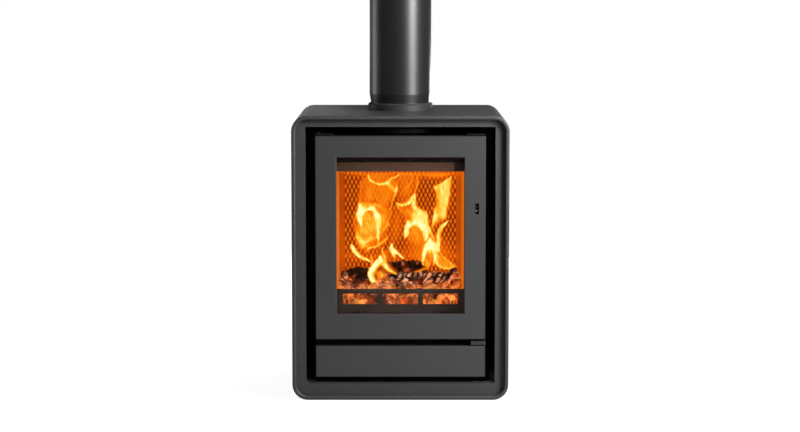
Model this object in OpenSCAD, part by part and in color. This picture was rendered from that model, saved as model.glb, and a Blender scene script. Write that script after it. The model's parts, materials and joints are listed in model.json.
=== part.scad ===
// Compact multi-fuel stove in a rounded convector casing, with its first length of flue pipe.
// The front faces -Y, +Z is up, and the origin is on the floor at the middle of the casing.

/* [Casing] */
// Width of the outer casing
casing_w = 440; // [420:1:480]
// Height of the outer casing, without the flue pipe
casing_h = 580; // [570:1:640]
// Depth of the outer casing, from the rim's front to the rear edge
casing_d = 365; // [345:1:420]
// Outside radius of the casing's four long corners
casing_r = 32; // [24:1:40]
// Thickness of the casing's sheet
casing_wall = 4; // [3:0.5:5]
// Width of the thick rim round the front
rim_w = 8; // [6:0.5:10]
// Depth of the rim, which is how far the bezel's face is set back
rim_d = 12; // [9:0.5:16]
// Radius of the rim's two front edges
rim_round = 2.5; // [1:0.25:3]
// Width of the inward flange that holds the rear panel
rear_flange_w = 14; // [12:0.5:20]
// Thickness of the rear flange
rear_flange_t = 3; // [2:0.5:4]
// Thickness of the rear panel
rear_panel_t = 2; // [1.5:0.5:3]

/* [Bezel] */
// Visible width of the casing and bezel at each side of the opening
bezel_side = 27.5; // [25:0.5:30]
// Height of the casing and bezel under the opening
bezel_sill = 32; // [28:1:36]
// Height of the casing and bezel over the opening
bezel_head = 23; // [22:0.5:30]
// Thickness of the bezel's sheet
bezel_t = 3; // [2:0.5:4]
// Depth of the return round the opening
bezel_return = 23; // [18:1:30]
// Radius in the corners of the opening
bezel_open_r = 3; // [2:0.5:6]

/* [Body] */
// How much narrower the welded body is than the door, at each side
body_step = 13; // [8:0.5:15]
// Depth of the air space between the body and the casing's rear edge
rear_air_space = 84; // [63:1:93]
// Thickness of the body's plate
body_wall = 4; // [3:0.5:5]
// Height of the rails that carry the body
rail_h = 26; // [20:1:32]
// Clear height of the ash compartment
ash_room_h = 112; // [106:1:120]
// Thickness of the front frame
frame_t = 8; // [6:0.5:10]
// How far the fire opening's side edge lies outside the window's
fire_open_margin = 5.5; // [1.5:0.5:10.5]
// Height of the front frame over the fire opening
fire_open_head = 35.5; // [26:0.5:45]
// Height of the fire opening's edge above the firebox floor
fire_open_rise = 10; // [6:1:14]

/* [Door] */
// Air gap round the door and the lower cover, inside the bezel's opening
door_air = 19.5; // [16.5:0.5:20.5]
// Depth of the door from its face to its rear edge
door_t = 24; // [22:0.5:28]
// Thickness of the door's front plate
door_plate_t = 6; // [5:0.5:8]
// How far the door's face lies behind the bezel's face
door_setback = 8; // [5:0.5:12]
// Gap between the door's rear edge and the front frame
door_gap = 5; // [4:0.5:6]
// Width of the door's stiles beside the window
door_stile = 43.5; // [41:0.5:52]
// Height of the door's rail over the window
door_head = 43.5; // [40:0.5:50]
// Height of the door's rail under the window
door_foot = 52.5; // [48:0.5:66]
// Bevel on the edges of the door, the window and the lower cover
edge_bevel = 1.5; // [0.5:0.25:2.5]
// Thickness of the window glass
glass_t = 4; // [3:0.5:5]
// Overlap of the glass behind the window's edge
glass_lap = 8.5; // [6:0.5:10]
// Diameter of the door's rope seal
rope_d = 6.8; // [6:0.2:7.4]
// Diameter of the hinge pins
hinge_pin_d = 6; // [5:0.5:7]
// How far the door opens, in degrees
door_open = 110; // [90:5:110]

/* [Lower cover and ash pan] */
// Height of the lower cover
cover_h = 64; // [60:1:68]
// Height of the cover's lower edge above the underside of the body
cover_rise = 13.5; // [11:0.5:15]
// Gap between the lower cover and the door
cover_gap = 14; // [13.5:0.5:18]
// Distance from the body's side to the wall of the ash pan
pan_side = 48; // [47:1:60]
// Distance from the body's rear to the wall of the ash pan
pan_rear = 14.5; // [10:0.5:30]
// Height of the ash pan
pan_h = 46; // [38:1:47]
// Thickness of the ash pan's sheet
pan_wall = 2; // [1.5:0.25:3]

/* [Firebox lining] */
// Thickness of the firebricks
brick_t = 25.5; // [22:0.5:28]
// Clear height between the firebricks and the body's top
brick_head = 67.5; // [58:0.5:80]
// Width of one diamond on the back brick
diamond_w = 9; // [8:0.5:16]
// Height of one diamond on the back brick
diamond_h = 18.8; // [16:0.2:30]
// How far the diamonds stand proud
diamond_relief = 2.5; // [1:0.25:3]
// Spacing of the ribs on the side bricks
rib_pitch = 6.5; // [5:0.5:12]
// Depth of the grooves between the side bricks' ribs
rib_depth = 2; // [1:0.25:3]
// Thickness of the baffle over the fire
baffle_t = 20; // [15:1:25]
// Height of the log retainer
retainer_h = 68.5; // [60:0.5:74]
// Thickness of the log retainer
retainer_t = 5; // [4:0.5:6]

/* [Grate] */
// Width of the grate frame's side rails
grate_side = 25; // [22:0.5:28]
// Space between the lining and the rocking bars, at the front and the rear together
bar_room = 50.5; // [48.5:0.5:60]
// Gap between the teeth's tips and the next bar's spine
tooth_gap = 7; // [6:0.5:9]
// Distance from one tooth to the next on the same side
tooth_pitch = 20; // [18:0.5:24]
// Width of one tooth
tooth_w = 7; // [5:0.5:8]
// Diameter of a bar's journals
journal_d = 9; // [8:0.5:10]
// Height of the grate frame
grate_h = 17; // [16.5:0.5:20]
// Angle that the bars rock to each side
rock_angle = 12; // [6:1:12]
// Distance from a bar's axis down to its crank pin
crank_r = 18; // [17:0.5:19]

/* [Air control] */
// Number of air slots
air_slots = 4; // [3:1:5]
// Land between an air slot and the valve's slot beside it, when the air is shut
air_land = 2; // [1:0.5:8]
// Width of the air knob
knob_w = 31; // [24:1:34]

/* [Flue] */
// Outside diameter of the flue pipe
flue_d = 130; // [120:1:136]
// Thickness of the flue pipe's wall
flue_wall = 2; // [1.5:0.25:3]
// Distance from the rear wall of the body to the flue's axis
flue_from_back = 71; // [66:1:85]
// Height of the flue pipe's upper end above the casing
flue_rise = 265; // [180:1:500]
// Height of the collar above the casing's top
collar_rise = 13; // [8:0.5:20]
// Thickness of the collar's wall
collar_t = 5; // [4:0.5:7]

/* [Hidden] */
$fn = 48;
// Gap between parts that lie beside each other without moving
seat_gap = 0.5;
// Gap round parts that slide
slide_gap = 0.3;
// Radial gap of a pin or journal in its hole
pin_gap = 0.06;
steel_dark = [0.22, 0.22, 0.23];
steel_black = [0.1, 0.1, 0.11];
iron = [0.16, 0.16, 0.17];
zinc = [0.62, 0.63, 0.65];
brick_tan = [0.72, 0.62, 0.5];

// Widths, from the outside inwards
bezel_open_w = casing_w - 2 * bezel_side;
door_w = bezel_open_w - 2 * door_air;
frame_w = door_w - 2;
body_w = door_w - 2 * body_step;
window_w = door_w - 2 * door_stile;
fire_open_w = window_w + 2 * fire_open_margin;
pan_w = body_w - 2 * pan_side;

// Depths, from the front backwards
front_y = -casing_d / 2;
rear_y = casing_d / 2;
bezel_y = front_y + rim_d;
door_y = bezel_y + door_setback;
door_back = door_y + door_t;
frame_y = door_back + door_gap;
body_y = frame_y + frame_t;
body_back = rear_y - rear_air_space;
body_d = body_back - body_y;
inner_back = body_back - body_wall;

// Heights, from the floor upwards
body_z = casing_wall + rail_h;
cover_z = body_z + cover_rise;
cover_top = cover_z + cover_h;
door_z = cover_top + cover_gap;
bezel_top = casing_h - bezel_head;
bezel_open_h = bezel_top - bezel_sill;
door_top = bezel_top - door_air;
door_h = door_top - door_z;
body_top = door_top - 2;
floor_under = body_z + body_wall + ash_room_h;
floor_z = floor_under + body_wall;
window_top = door_top - door_head;
window_z = door_z + door_foot;
window_h = window_top - window_z;

// Firebox
inner_half = body_w / 2 - body_wall;
brick_back_x = inner_half - seat_gap;
fire_half = brick_back_x - brick_t;
back_brick_y = inner_back - seat_gap - brick_t;
lining_front_y = body_y + 13.5;
brick_top = body_top - brick_head;
brick_h = brick_top - floor_z;
baffle_front_y = body_y + 55;
fire_open_z = floor_z + fire_open_rise;
fire_open_h = body_top - fire_open_head - fire_open_z;
retainer_y = lining_front_y - seat_gap - retainer_t;
retainer_half = fire_half + 2;

// Grate
bar_count = 5;
bar_z = floor_z + 7;
bed_z = floor_z + grate_h;
spine_r = 7;
grate_half_w = fire_half - 2;
bar_pitch = 2 * (grate_half_w - grate_side - 3 + spine_r + tooth_gap) / (bar_count + 1);
tooth_reach = bar_pitch - spine_r - tooth_gap;
grate_mid_y = (lining_front_y + back_brick_y) / 2 + 7;
bar_len = back_brick_y - lining_front_y - bar_room;
bar_y = grate_mid_y - bar_len / 2;
bar_end_gap = 0.5;
journal_l = 10;
frame_rail = 12;
teeth_half_w = (bar_count - 1) / 2 * bar_pitch + tooth_reach + 3;
tooth_count = floor((bar_len - tooth_w) / tooth_pitch);
crank_y = bar_y + bar_len - 11;
crank_t = 6;
pin_z = bar_z - crank_r;
crank_pin_d = 6;
link_y = crank_y + crank_t + 2;
link_t = 4;
link_half_h = 6.5;
link_end = floor_half_w() + 16;
lever_w = 6;
floor_slot_l = bar_len + 8;

// Ash pan
pan_z = body_z + body_wall + 16;
pan_y = body_y + 9.5;
pan_l = body_back - pan_rear - pan_y;
pan_top = pan_z + pan_h;
pan_flange = 6;
bracket_t = 2.5;
bracket_w = 22;
bracket_h = 22;
bracket_z = pan_z + 12;
bracket_x = pan_w / 2 - 40;
runner_front_y = body_y + 8;
ash_open_z = body_z + 18;
ash_open_top = pan_top + 4;
ash_open_half = pan_w / 2 + 30;

// Air control
valve_z = ash_open_top + 6;
valve_h = 15;
valve_t = 2.5;
valve_y = body_y + slide_gap;
valve_right = inner_half - 2;
air_slot_pitch = 2 * inner_half / (air_slots + 1.2);
air_travel = air_slot_pitch / 2;
air_slot_w = air_travel - air_land;
valve_left = -(inner_half - 2 - air_travel);
slot_z = valve_z + 4.5;
slot_h = 6.5;
tab_w = 8;
knob_z = slot_z - 0.5;
knob_h = 7.5;
knob_y = door_y + 2.5;
knob_t = 10;

// Door
hinge_x = -(door_w / 2 - 6);
hinge_y = door_y + 13;
rope_y = frame_y - slide_gap - rope_d / 2;
groove_wall = 2.5;
groove_w = rope_d + 0.4;
rope_inset = groove_wall + groove_w / 2;
groove_floor = rope_y - rope_d / 2 - 0.2;
web_t = 2.5;
hinge_block_w = 13;
hinge_block_h = 22;
lug_t = 3;
lug_w = 38;
lug_gap = 1.5;
low_lug_t = 2.7;
low_lug_gap = 0.5;
gasket_t = 1;
glass_y = door_y + door_plate_t + gasket_t;

// Latch
latch_x = door_w / 2 - 17.7;
latch_z = window_top - 0.3265625 * window_h;
latch_slot_w = 7.6;
latch_slot_h = 22;
latch_travel = 6;
catch_half = 4;

// Flue
flue_y = body_back - flue_from_back;
flue_r = flue_d / 2;
male_r = flue_r - 3;
collar_in_r = male_r + 1;
collar_out_r = collar_in_r + collar_t;
collar_top = casing_h + collar_rise;
gasket_h = 2;
collar_flange_r = collar_out_r + 17;
collar_flange_t = 6;
pipe_low = body_top + 17.8;
pipe_top = casing_h + flue_rise;

// What burns on the grate
bed_h = 60;
lump = 24;
log_r = 17;

// Screws
rail_bolt_d = 7;
screw_d = 4;
screw_bite = 3.5;

// Half the width of the opening in the firebox floor
function floor_half_w() = (bar_count - 1) / 2 * bar_pitch + tooth_reach + 7;

// Flat rounded rectangle, centred
module rounded_rect(w, h, r) {
  square([w - 2 * r, h], center = true);
  square([w, h - 2 * r], center = true);
  for (x = [-1, 1], y = [-1, 1])
    translate([x * (w / 2 - r), y * (h / 2 - r)]) circle(r);
}

// Upright slab: the flat shape's x and y become X and Z, from depth y backwards by t
module slab(y, t) {
  translate([0, y + t, 0]) rotate([90, 0, 0]) linear_extrude(t) children();
}

// Bar along X from x0 to x1, whose flat section is drawn in Y and Z
module bar_x(x0, x1) {
  translate([x0, 0, 0]) rotate([90, 0, 90]) linear_extrude(x1 - x0) children();
}

// Box between two corners
module box(a, b) {
  translate(a) cube(b - a);
}

// Upright frame swept round a rounded rectangle, centred on the Y axis.
// The section's x runs inwards from the outer face, and its y runs backwards.
module swept_frame(w, h, r) {
  for (side = [0, 1]) {
    rotate([0, 180 * side, 0]) {
      translate([-(w / 2 - r), 0, h / 2]) rotate([0, 90, 0]) linear_extrude(w - 2 * r) children();
      rotate([0, 90, 0])
        translate([-(h / 2 - r), 0, w / 2]) rotate([0, 90, 0]) linear_extrude(h - 2 * r) children();
    }
  }
  for (x = [-1, 1], z = [-1, 1]) {
    turn = x > 0 ? (z > 0 ? 270 : 0) : (z > 0 ? 180 : 90);
    translate([x * (w / 2 - r), 0, z * (h / 2 - r)])
      rotate([0, turn, 0]) rotate([-90, 0, 0])
        rotate_extrude(angle = 90) translate([r, 0]) mirror([1, 0]) children();
  }
}

// Rectangular plate whose front edges are bevelled; its face lies at y = 0
module bevelled_plate(w, h, t, b) {
  function edge(s) = [[-s / 2 + b, 0], [s / 2 - b, 0], [s / 2, b], [s / 2, t], [-s / 2, t], [-s / 2, b]];
  intersection() {
    linear_extrude(h) polygon(edge(w));
    translate([w / 2, 0, h / 2]) rotate([0, -90, 0]) linear_extrude(w) polygon(edge(h));
  }
}

// Cutter for a rectangular opening whose front edge is bevelled
module bevelled_cut(w, h, t, b) {
  function edge(s) = [
    [-s / 2 - b - 1, -1], [s / 2 + b + 1, -1], [s / 2, b],
    [s / 2, t + 1], [-s / 2, t + 1], [-s / 2, b]
  ];
  big_w = w + 2 * b + 4;
  big_h = h + 2 * b + 4;
  intersection() {
    translate([0, 0, h / 2 - big_h / 2]) linear_extrude(big_h) polygon(edge(w));
    translate([big_w / 2, 0, h / 2]) rotate([0, -90, 0]) linear_extrude(big_w) polygon(edge(h));
  }
}

// Hexagon-headed bolt along +Z: the head lies below z = 0 and the shank above
module hex_bolt(d, l) {
  translate([0, 0, -0.6 * d]) cylinder(d = 1.7 * d, h = 0.6 * d, $fn = 6);
  cylinder(d = d, h = l, $fn = 24);
}

// Round-headed screw pointing along +Y: the head lies in front of y = 0
module pan_screw(d, l) {
  rotate([-90, 0, 0]) {
    translate([0, 0, -0.5 * d]) cylinder(d = 1.9 * d, h = 0.5 * d, $fn = 24);
    cylinder(d = d, h = l, $fn = 24);
  }
}

// Hole for such a screw, from just in front of y = 0
module screw_hole(d, l) {
  translate([0, -1, 0]) rotate([-90, 0, 0]) cylinder(d = d + 0.2, h = l + 1.2, $fn = 24);
}

// Section of the casing's wall, with its thick rim and rear flange
module casing_section() {
  difference() {
    union() {
      square([casing_wall, casing_d]);
      square([rim_w, rim_d]);
      translate([0, casing_d - rear_flange_setback()]) square([rear_flange_w, rear_flange_t]);
    }
    difference() {
      square([rim_round, rim_round]);
      translate([rim_round, rim_round]) circle(rim_round);
    }
    difference() {
      translate([rim_w - rim_round, 0]) square([rim_round, rim_round]);
      translate([rim_w - rim_round, rim_round]) circle(rim_round);
    }
  }
}

// Distance from the casing's rear edge to the front of the rear flange
function rear_flange_setback() = rear_flange_t + 2 * rear_panel_t;

module outer_casing() {
  color(steel_dark)
  difference() {
    translate([0, front_y, casing_h / 2]) swept_frame(casing_w, casing_h, casing_r) casing_section();
    translate([0, flue_y, casing_h - casing_wall - 1]) cylinder(r = collar_out_r + 1, h = casing_wall + 2);
  }
}

module front_bezel() {
  mid = bezel_sill + bezel_open_h / 2;
  outer_w = casing_w - 2 * casing_wall - 2 * seat_gap;
  outer_h = casing_h - 2 * casing_wall - 2 * seat_gap;
  color(steel_dark)
  difference() {
    union() {
      slab(bezel_y, bezel_t) translate([0, casing_h / 2])
        rounded_rect(outer_w, outer_h, casing_r - casing_wall - seat_gap);
      slab(bezel_y, bezel_return) translate([0, mid])
        rounded_rect(bezel_open_w + 2 * bezel_t, bezel_open_h + 2 * bezel_t, bezel_open_r + bezel_t);
    }
    slab(bezel_y - 1, bezel_return + 2) translate([0, mid])
      rounded_rect(bezel_open_w, bezel_open_h, bezel_open_r);
  }
}

// Clips on the casing's sides that press the bezel against the rim
module bezel_clips() {
  wall_x = casing_w / 2 - casing_wall;
  foot_y = bezel_y + bezel_t;
  foot_w = bezel_side / 2;
  leg = 16;
  color(zinc)
  for (s = [0, 1], z = [0.2, 0.5, 0.8])
    translate([0, 0, z * casing_h]) mirror([s, 0, 0]) {
      box([wall_x - 2, foot_y, -12], [wall_x, foot_y + leg, 12]);
      box([wall_x - foot_w, foot_y, -12], [wall_x, foot_y + 2, 12]);
    }
}

// Rear panel with a row of air slots near its foot and another near its head
module rear_panel() {
  panel_y = rear_y - 2 * rear_panel_t;
  panel_w = casing_w - 2 * casing_wall - 2 * seat_gap;
  panel_h = casing_h - 2 * casing_wall - 2 * seat_gap;
  slots = 13;
  slot_w = 8;
  slot_l = 56;
  margin = 30;
  pitch = (panel_w - 2 * rear_flange_w - 2 * margin) / (slots - 1);
  color(steel_dark)
  difference() {
    slab(panel_y, rear_panel_t) translate([0, casing_h / 2])
      rounded_rect(panel_w, panel_h, casing_r - casing_wall - seat_gap);
    slab(panel_y - 1, rear_panel_t + 2)
      for (i = [0:slots - 1], z = [0.13, 0.84])
        translate([(i - (slots - 1) / 2) * pitch, z * casing_h])
          rounded_rect(slot_w, slot_l, slot_w / 2 - 0.1);
    for (p = panel_screw_places())
      translate([p.x, panel_y - 1, p.y]) rotate([-90, 0, 0]) cylinder(d = 4.4, h = rear_panel_t + 2);
  }
}

// Places of the rear panel's screws, across and up
function panel_screw_places() = [
  for (x = [-1, 1], z = [0.12, 0.5, 0.88])
    [x * (casing_w / 2 - casing_wall - rear_flange_w / 2), z * casing_h]
];

module rear_panel_screws() {
  color(zinc)
  for (p = panel_screw_places())
    translate([p.x, rear_y - rear_panel_t, p.y]) rotate([0, 0, 180]) pan_screw(3.8, rear_panel_t);
}

// Channel that carries the body; it opens towards the stove's middle
module support_rail() {
  w = 30;
  t = 3;
  outer_x = body_w / 2 - 20;
  z0 = casing_wall;
  color(steel_black)
  difference() {
    translate([0, body_y + body_d - 14, 0]) rotate([90, 0, 0]) linear_extrude(body_d - 32)
      difference() {
        translate([outer_x - w, z0]) square([w, rail_h]);
        translate([outer_x - w - 1, z0 + t]) square([w + 1 - t, rail_h - 2 * t]);
      }
    for (p = rail_bolt_places())
      translate([p.x, p.y, body_z - t - 1]) cylinder(d = rail_bolt_d + 0.6, h = t + 2);
  }
}

// Places of the rail bolts, across and along
function rail_bolt_places() = [
  for (s = [-1, 1], y = [0.25, 0.75]) [s * (body_w / 2 - 37), body_y + y * body_d]
];

module support_rail_right() {
  support_rail();
}

module support_rail_left() {
  mirror([1, 0, 0]) support_rail();
}

// Bolts from the rails up into the body's underside
module rail_bolts() {
  color(zinc)
  for (p = rail_bolt_places())
    translate([p.x, p.y, body_z - 3]) hex_bolt(rail_bolt_d, 3 + body_wall);
}

// Welded plate body: ash compartment below, firebox above, and the flue outlet in its roof
module body_shell() {
  inner_w = 2 * inner_half;
  color(steel_black)
  difference() {
    box([-body_w / 2, body_y, body_z], [body_w / 2, body_back, body_top]);
    box([-inner_half, body_y - 1, body_z + body_wall], [inner_half, inner_back, floor_under]);
    box([-inner_half, body_y - 1, floor_z], [inner_half, inner_back, body_top - body_wall]);
    box([-floor_half_w(), grate_mid_y - floor_slot_l / 2, floor_under - 1],
      [floor_half_w(), grate_mid_y + floor_slot_l / 2, floor_z + 1]);
    translate([0, flue_y, body_top - body_wall - 1]) cylinder(r = male_r - 3, h = body_wall + 2);
    for (p = rail_bolt_places())
      translate([p.x, p.y, body_z - 1]) cylinder(d = rail_bolt_d + 0.6, h = body_wall + 2);
  }
}

// Lug on the front frame that holds a hinge pin
module hinge_lug(z, t) {
  outer = door_w / 2 - 1;
  difference() {
    union() {
      box([outer - lug_w, hinge_y, z], [outer, frame_y + 0.01, z + t]);
      translate([outer - lug_w, hinge_y - 5, z]) cube([lug_w, 5.01, t]);
    }
    translate([-hinge_x, hinge_y, z - 1]) cylinder(d = hinge_pin_d + 2 * pin_gap, h = t + 2);
  }
}

// Front frame: fire opening, air slots, ash opening and the lugs for the door
module front_frame() {
  fire_mid = fire_open_z + fire_open_h / 2;
  lug_z = door_top + lug_gap;
  color(steel_black)
  difference() {
    union() {
      slab(frame_y, frame_t) translate([0, (body_z + body_top) / 2])
        square([frame_w, body_top - body_z], center = true);
      for (s = [0, 1]) mirror([s, 0, 0]) {
        box([door_w / 2 - 1 - lug_w, frame_y, body_top - 1], [door_w / 2 - 1, body_y, lug_z + lug_t]);
        hinge_lug(lug_z, lug_t);
      }
      mirror([1, 0, 0]) hinge_lug(door_z - low_lug_gap - low_lug_t, low_lug_t);
    }
    slab(frame_y - 1, frame_t + 2) {
      translate([0, fire_mid]) rounded_rect(fire_open_w, fire_open_h, 4);
      translate([-ash_open_half, ash_open_z]) square([2 * ash_open_half, ash_open_top - ash_open_z]);
      for (i = [0:air_slots - 1])
        translate([air_slot_x(i) - air_slot_w / 2, slot_z]) square([air_slot_w, slot_h]);
      translate([valve_right - tab_w - air_travel - 2, slot_z]) square([tab_w + air_travel + 3, slot_h]);
    }
    keeper_screw_place() screw_hole(screw_d, 2.5 + screw_bite);
  }
}

// Middle of an air slot in the front frame
function air_slot_x(i) = (i - (air_slots - 0.5) / 2) * air_slot_pitch;

// Back brick. Its face is a grid of half cells: every other crossing stands proud,
// so that four triangles make each diamond.
module back_brick() {
  half_w = brick_back_x;
  cols = 2 * floor((2 * fire_half - 22) / diamond_w);
  rows = 2 * floor((brick_h - 24) / diamond_h);
  x0 = -cols * diamond_w / 4;
  z0 = floor_z + (brick_h - rows * diamond_h / 2) / 2;
  across = cols + 1;
  function raised(i, j) = (i + j) % 2 == 0 && i > 0 && j > 0 && i < cols && j < rows;
  function at(i, j) = j * across + i;
  grid = [
    for (j = [0:rows], i = [0:cols])
      [x0 + i * diamond_w / 2, back_brick_y - (raised(i, j) ? diamond_relief : 0), z0 + j * diamond_h / 2]
  ];
  n = len(grid);
  corners = [
    for (y = [back_brick_y, back_brick_y + brick_t])
      for (p = [[-1, 0], [1, 0], [1, 1], [-1, 1]]) [p.x * half_w, y, floor_z + p.y * brick_h]
  ];
  cells = [
    for (j = [0:rows - 1], i = [0:cols - 1])
      let (a = at(i, j), b = at(i + 1, j), c = at(i + 1, j + 1), d = at(i, j + 1))
        each (i + j) % 2 == 0 ? [[a, d, b], [b, d, c]] : [[a, c, b], [a, d, c]]
  ];
  border = [
    concat([n, n + 3], [for (j = [rows:-1:0]) at(0, j)]),
    concat([n + 3, n + 2], [for (i = [cols:-1:0]) at(i, rows)]),
    concat([n + 2, n + 1], [for (j = [0:rows]) at(cols, j)]),
    concat([n + 1, n], [for (i = [0:cols]) at(i, 0)])
  ];
  sides = [
    [n + 4, n + 5, n + 6, n + 7],
    [n, n + 1, n + 5, n + 4], [n + 1, n + 2, n + 6, n + 5],
    [n + 2, n + 3, n + 7, n + 6], [n + 3, n, n + 4, n + 7]
  ];
  color(brick_tan) polyhedron(concat(grid, corners), concat(cells, border, sides));
}

// Side brick: level ribs run along its inner face
module side_brick() {
  ribs = floor((brick_h - 16) / rib_pitch);
  z0 = floor_z + (brick_h - ribs * rib_pitch) / 2;
  face = concat(
    [[brick_back_x, floor_z], [brick_back_x, brick_top], [fire_half, brick_top]],
    [for (i = [ribs:-1:1]) each [
      [fire_half, z0 + i * rib_pitch],
      [fire_half + rib_depth, z0 + (i - 0.3) * rib_pitch],
      [fire_half + rib_depth, z0 + (i - 0.45) * rib_pitch],
      [fire_half, z0 + (i - 0.75) * rib_pitch]
    ]],
    [[fire_half, floor_z]]
  );
  color(brick_tan)
  translate([0, back_brick_y - diamond_relief - seat_gap, 0]) rotate([90, 0, 0])
    linear_extrude(back_brick_y - diamond_relief - seat_gap - lining_front_y) polygon(face);
}

module side_brick_right() {
  side_brick();
}

module side_brick_left() {
  mirror([1, 0, 0]) side_brick();
}

// Baffle lying on the bricks, with a bevelled front edge
module baffle_plate() {
  color(brick_tan)
  bar_x(-brick_back_x, brick_back_x) polygon([
    [baffle_front_y + 8, brick_top], [inner_back - seat_gap, brick_top],
    [inner_back - seat_gap, brick_top + baffle_t], [baffle_front_y, brick_top + baffle_t],
    [baffle_front_y, brick_top + 8]
  ]);
}

// Bent plate that turns the air wash down over the glass
module airwash_deflector() {
  lip_y = body_y + 4.5;
  lip_z = brick_top - 6;
  lip_h = 19;
  slope = 17;
  t = 3;
  roof = body_top - body_wall;
  color(iron)
  bar_x(-(inner_half - 2), inner_half - 2) polygon([
    [lip_y, lip_z], [lip_y + t, lip_z], [lip_y + t, lip_z + lip_h - 1],
    [lip_y + t + slope, roof], [lip_y + slope - 0.3, roof], [lip_y, lip_z + lip_h]
  ]);
}

// Cast log retainer with three windows and a thicker top rail
module log_retainer() {
  windows = 3;
  gap = 10.5;
  edge = 13.5;
  window = (2 * retainer_half - 2 * edge - (windows - 1) * gap) / windows;
  high = retainer_h - 9.5;
  low = high - 22;
  color(iron)
  difference() {
    union() {
      slab(retainer_y, retainer_t) translate([-retainer_half, floor_z])
        square([2 * retainer_half, retainer_h]);
      box([-fire_half + 1, retainer_y - 2, floor_z + retainer_h - 7],
        [fire_half - 1, retainer_y + 0.01, floor_z + retainer_h - 3]);
    }
    slab(retainer_y - 3, retainer_t + 4)
      for (i = [0:windows - 1])
        translate([(i - (windows - 1) / 2) * (window + gap), floor_z + (low + high) / 2])
          rounded_rect(window, high - low, 2);
  }
}

// Two lugs on the firebox floor that keep the retainer upright
module retainer_lugs() {
  color(steel_black)
  for (s = [-1, 1])
    translate([s * (retainer_half - 42), 0, floor_z])
      box([-8, body_y, 0], [8, retainer_y - slide_gap, 22]);
}

// Grate frame: a cast ring with open notches for the journals
module grate_frame() {
  y0 = bar_y - journal_l - 8;
  y1 = bar_y + bar_len + frame_rail;
  color(iron)
  difference() {
    box([-grate_half_w, y0, floor_z], [grate_half_w, y1, floor_z + grate_h]);
    box([-teeth_half_w, bar_y, floor_z - 1], [teeth_half_w, bar_y + bar_len, floor_z + grate_h + 1]);
    for (i = [0:bar_count - 1], y = [bar_y - journal_l, bar_y + bar_len - 0.01]) {
      translate([bar_x_at(i), y, bar_z]) rotate([-90, 0, 0])
        cylinder(d = journal_d + 2 * pin_gap, h = journal_l + 0.01);
      box([bar_x_at(i) - journal_d / 2 - pin_gap, y, bar_z],
        [bar_x_at(i) + journal_d / 2 + pin_gap, y + journal_l + 0.01, floor_z + grate_h + 1]);
    }
  }
}

// Place of a rocking bar across the stove
function bar_x_at(i) = (i - (bar_count - 1) / 2) * bar_pitch;

// One side's teeth, which reach towards +X
module teeth(first_y) {
  for (k = [0:tooth_count - 1])
    translate([0, first_y + k * tooth_pitch + tooth_w, 0]) rotate([90, 0, 0]) linear_extrude(tooth_w)
      polygon([[0, -4], [tooth_reach, 1.5], [tooth_reach, 4.5], [0, 6]]);
}

// Rocking bar: spine, two journals, teeth that mesh with its neighbours', and a crank below
module grate_bar(i) {
  x = bar_x_at(i);
  spine_l = bar_len - 2 * bar_end_gap;
  first = bar_y + (bar_len - tooth_count * tooth_pitch) / 2 + (tooth_pitch / 2 - tooth_w) / 2;
  color(iron)
  translate([x, 0, bar_z]) {
    translate([0, bar_y + bar_end_gap, 0]) rotate([-90, 0, 0]) cylinder(r = spine_r, h = spine_l);
    translate([0, bar_y - journal_l + bar_end_gap, 0]) rotate([-90, 0, 0])
      cylinder(d = journal_d, h = bar_len + 2 * journal_l - 2 * bar_end_gap);
    teeth(first);
    mirror([1, 0, 0]) teeth(first + tooth_pitch / 2);
    box([-4, crank_y, -crank_r - 5], [4, crank_y + crank_t, 0]);
    translate([0, crank_y + crank_t - 0.01, -crank_r]) rotate([-90, 0, 0])
      cylinder(d = crank_pin_d, h = link_t + 4);
  }
}

module grate_bar_1() {
  grate_bar(0);
}

module grate_bar_2() {
  grate_bar(1);
}

module grate_bar_3() {
  grate_bar(2);
}

module grate_bar_4() {
  grate_bar(3);
}

module grate_bar_5() {
  grate_bar(4);
}

// Link bar under the floor: upright slots hold the crank pins
module riddling_link() {
  slot_w = crank_pin_d + 0.4;
  color(iron)
  slab(link_y, link_t) difference() {
    translate([-link_end, pin_z - link_half_h]) square([2 * link_end + lever_w, 2 * link_half_h]);
    for (i = [0:bar_count - 1])
      translate([bar_x_at(i) - slot_w / 2, pin_z - 4.2]) square([slot_w, 8.4]);
  }
}

// Lever from the link's end to the front of the ash compartment, with an eye for the tool
module riddling_lever() {
  x = link_end;
  front = body_y + 7.5;
  color(iron)
  difference() {
    union() {
      box([x, front, pin_z - 3], [x + lever_w, link_y, pin_z + 3]);
      box([x, front, ash_open_top], [x + lever_w, front + 12, pin_z + 3]);
    }
    translate([x - 1, front + 6, ash_open_top + 7]) rotate([0, 90, 0]) cylinder(d = 7, h = lever_w + 2);
  }
}

// Hangers under the floor that guide the link
module link_guides() {
  x0 = floor_half_w() + 2;
  color(steel_black)
  for (s = [0, 1]) mirror([s, 0, 0]) difference() {
    box([x0, link_y - 4, pin_z - link_half_h - 4], [x0 + 6, link_y + link_t + 4, floor_under]);
    box([x0 - 1, link_y - slide_gap, pin_z - link_half_h - slide_gap],
      [x0 + 7, link_y + link_t + slide_gap, floor_under + 1]);
  }
}

// Runner with a lip that guides the ash pan
module ash_runner() {
  shelf = 20;
  lip = 6;
  x0 = pan_w / 2 - shelf;
  z0 = body_z + body_wall;
  color(steel_black)
  translate([0, pan_y + pan_l + 4, 0]) rotate([90, 0, 0])
    linear_extrude(pan_l + 4 + pan_y - runner_front_y) {
      translate([x0, z0]) square([shelf + lip, pan_z - slide_gap - z0]);
      translate([pan_w / 2 + slide_gap, z0]) square([lip - slide_gap, pan_z + 8 - z0]);
    }
}

module ash_runner_right() {
  ash_runner();
}

module ash_runner_left() {
  mirror([1, 0, 0]) ash_runner();
}

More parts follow.
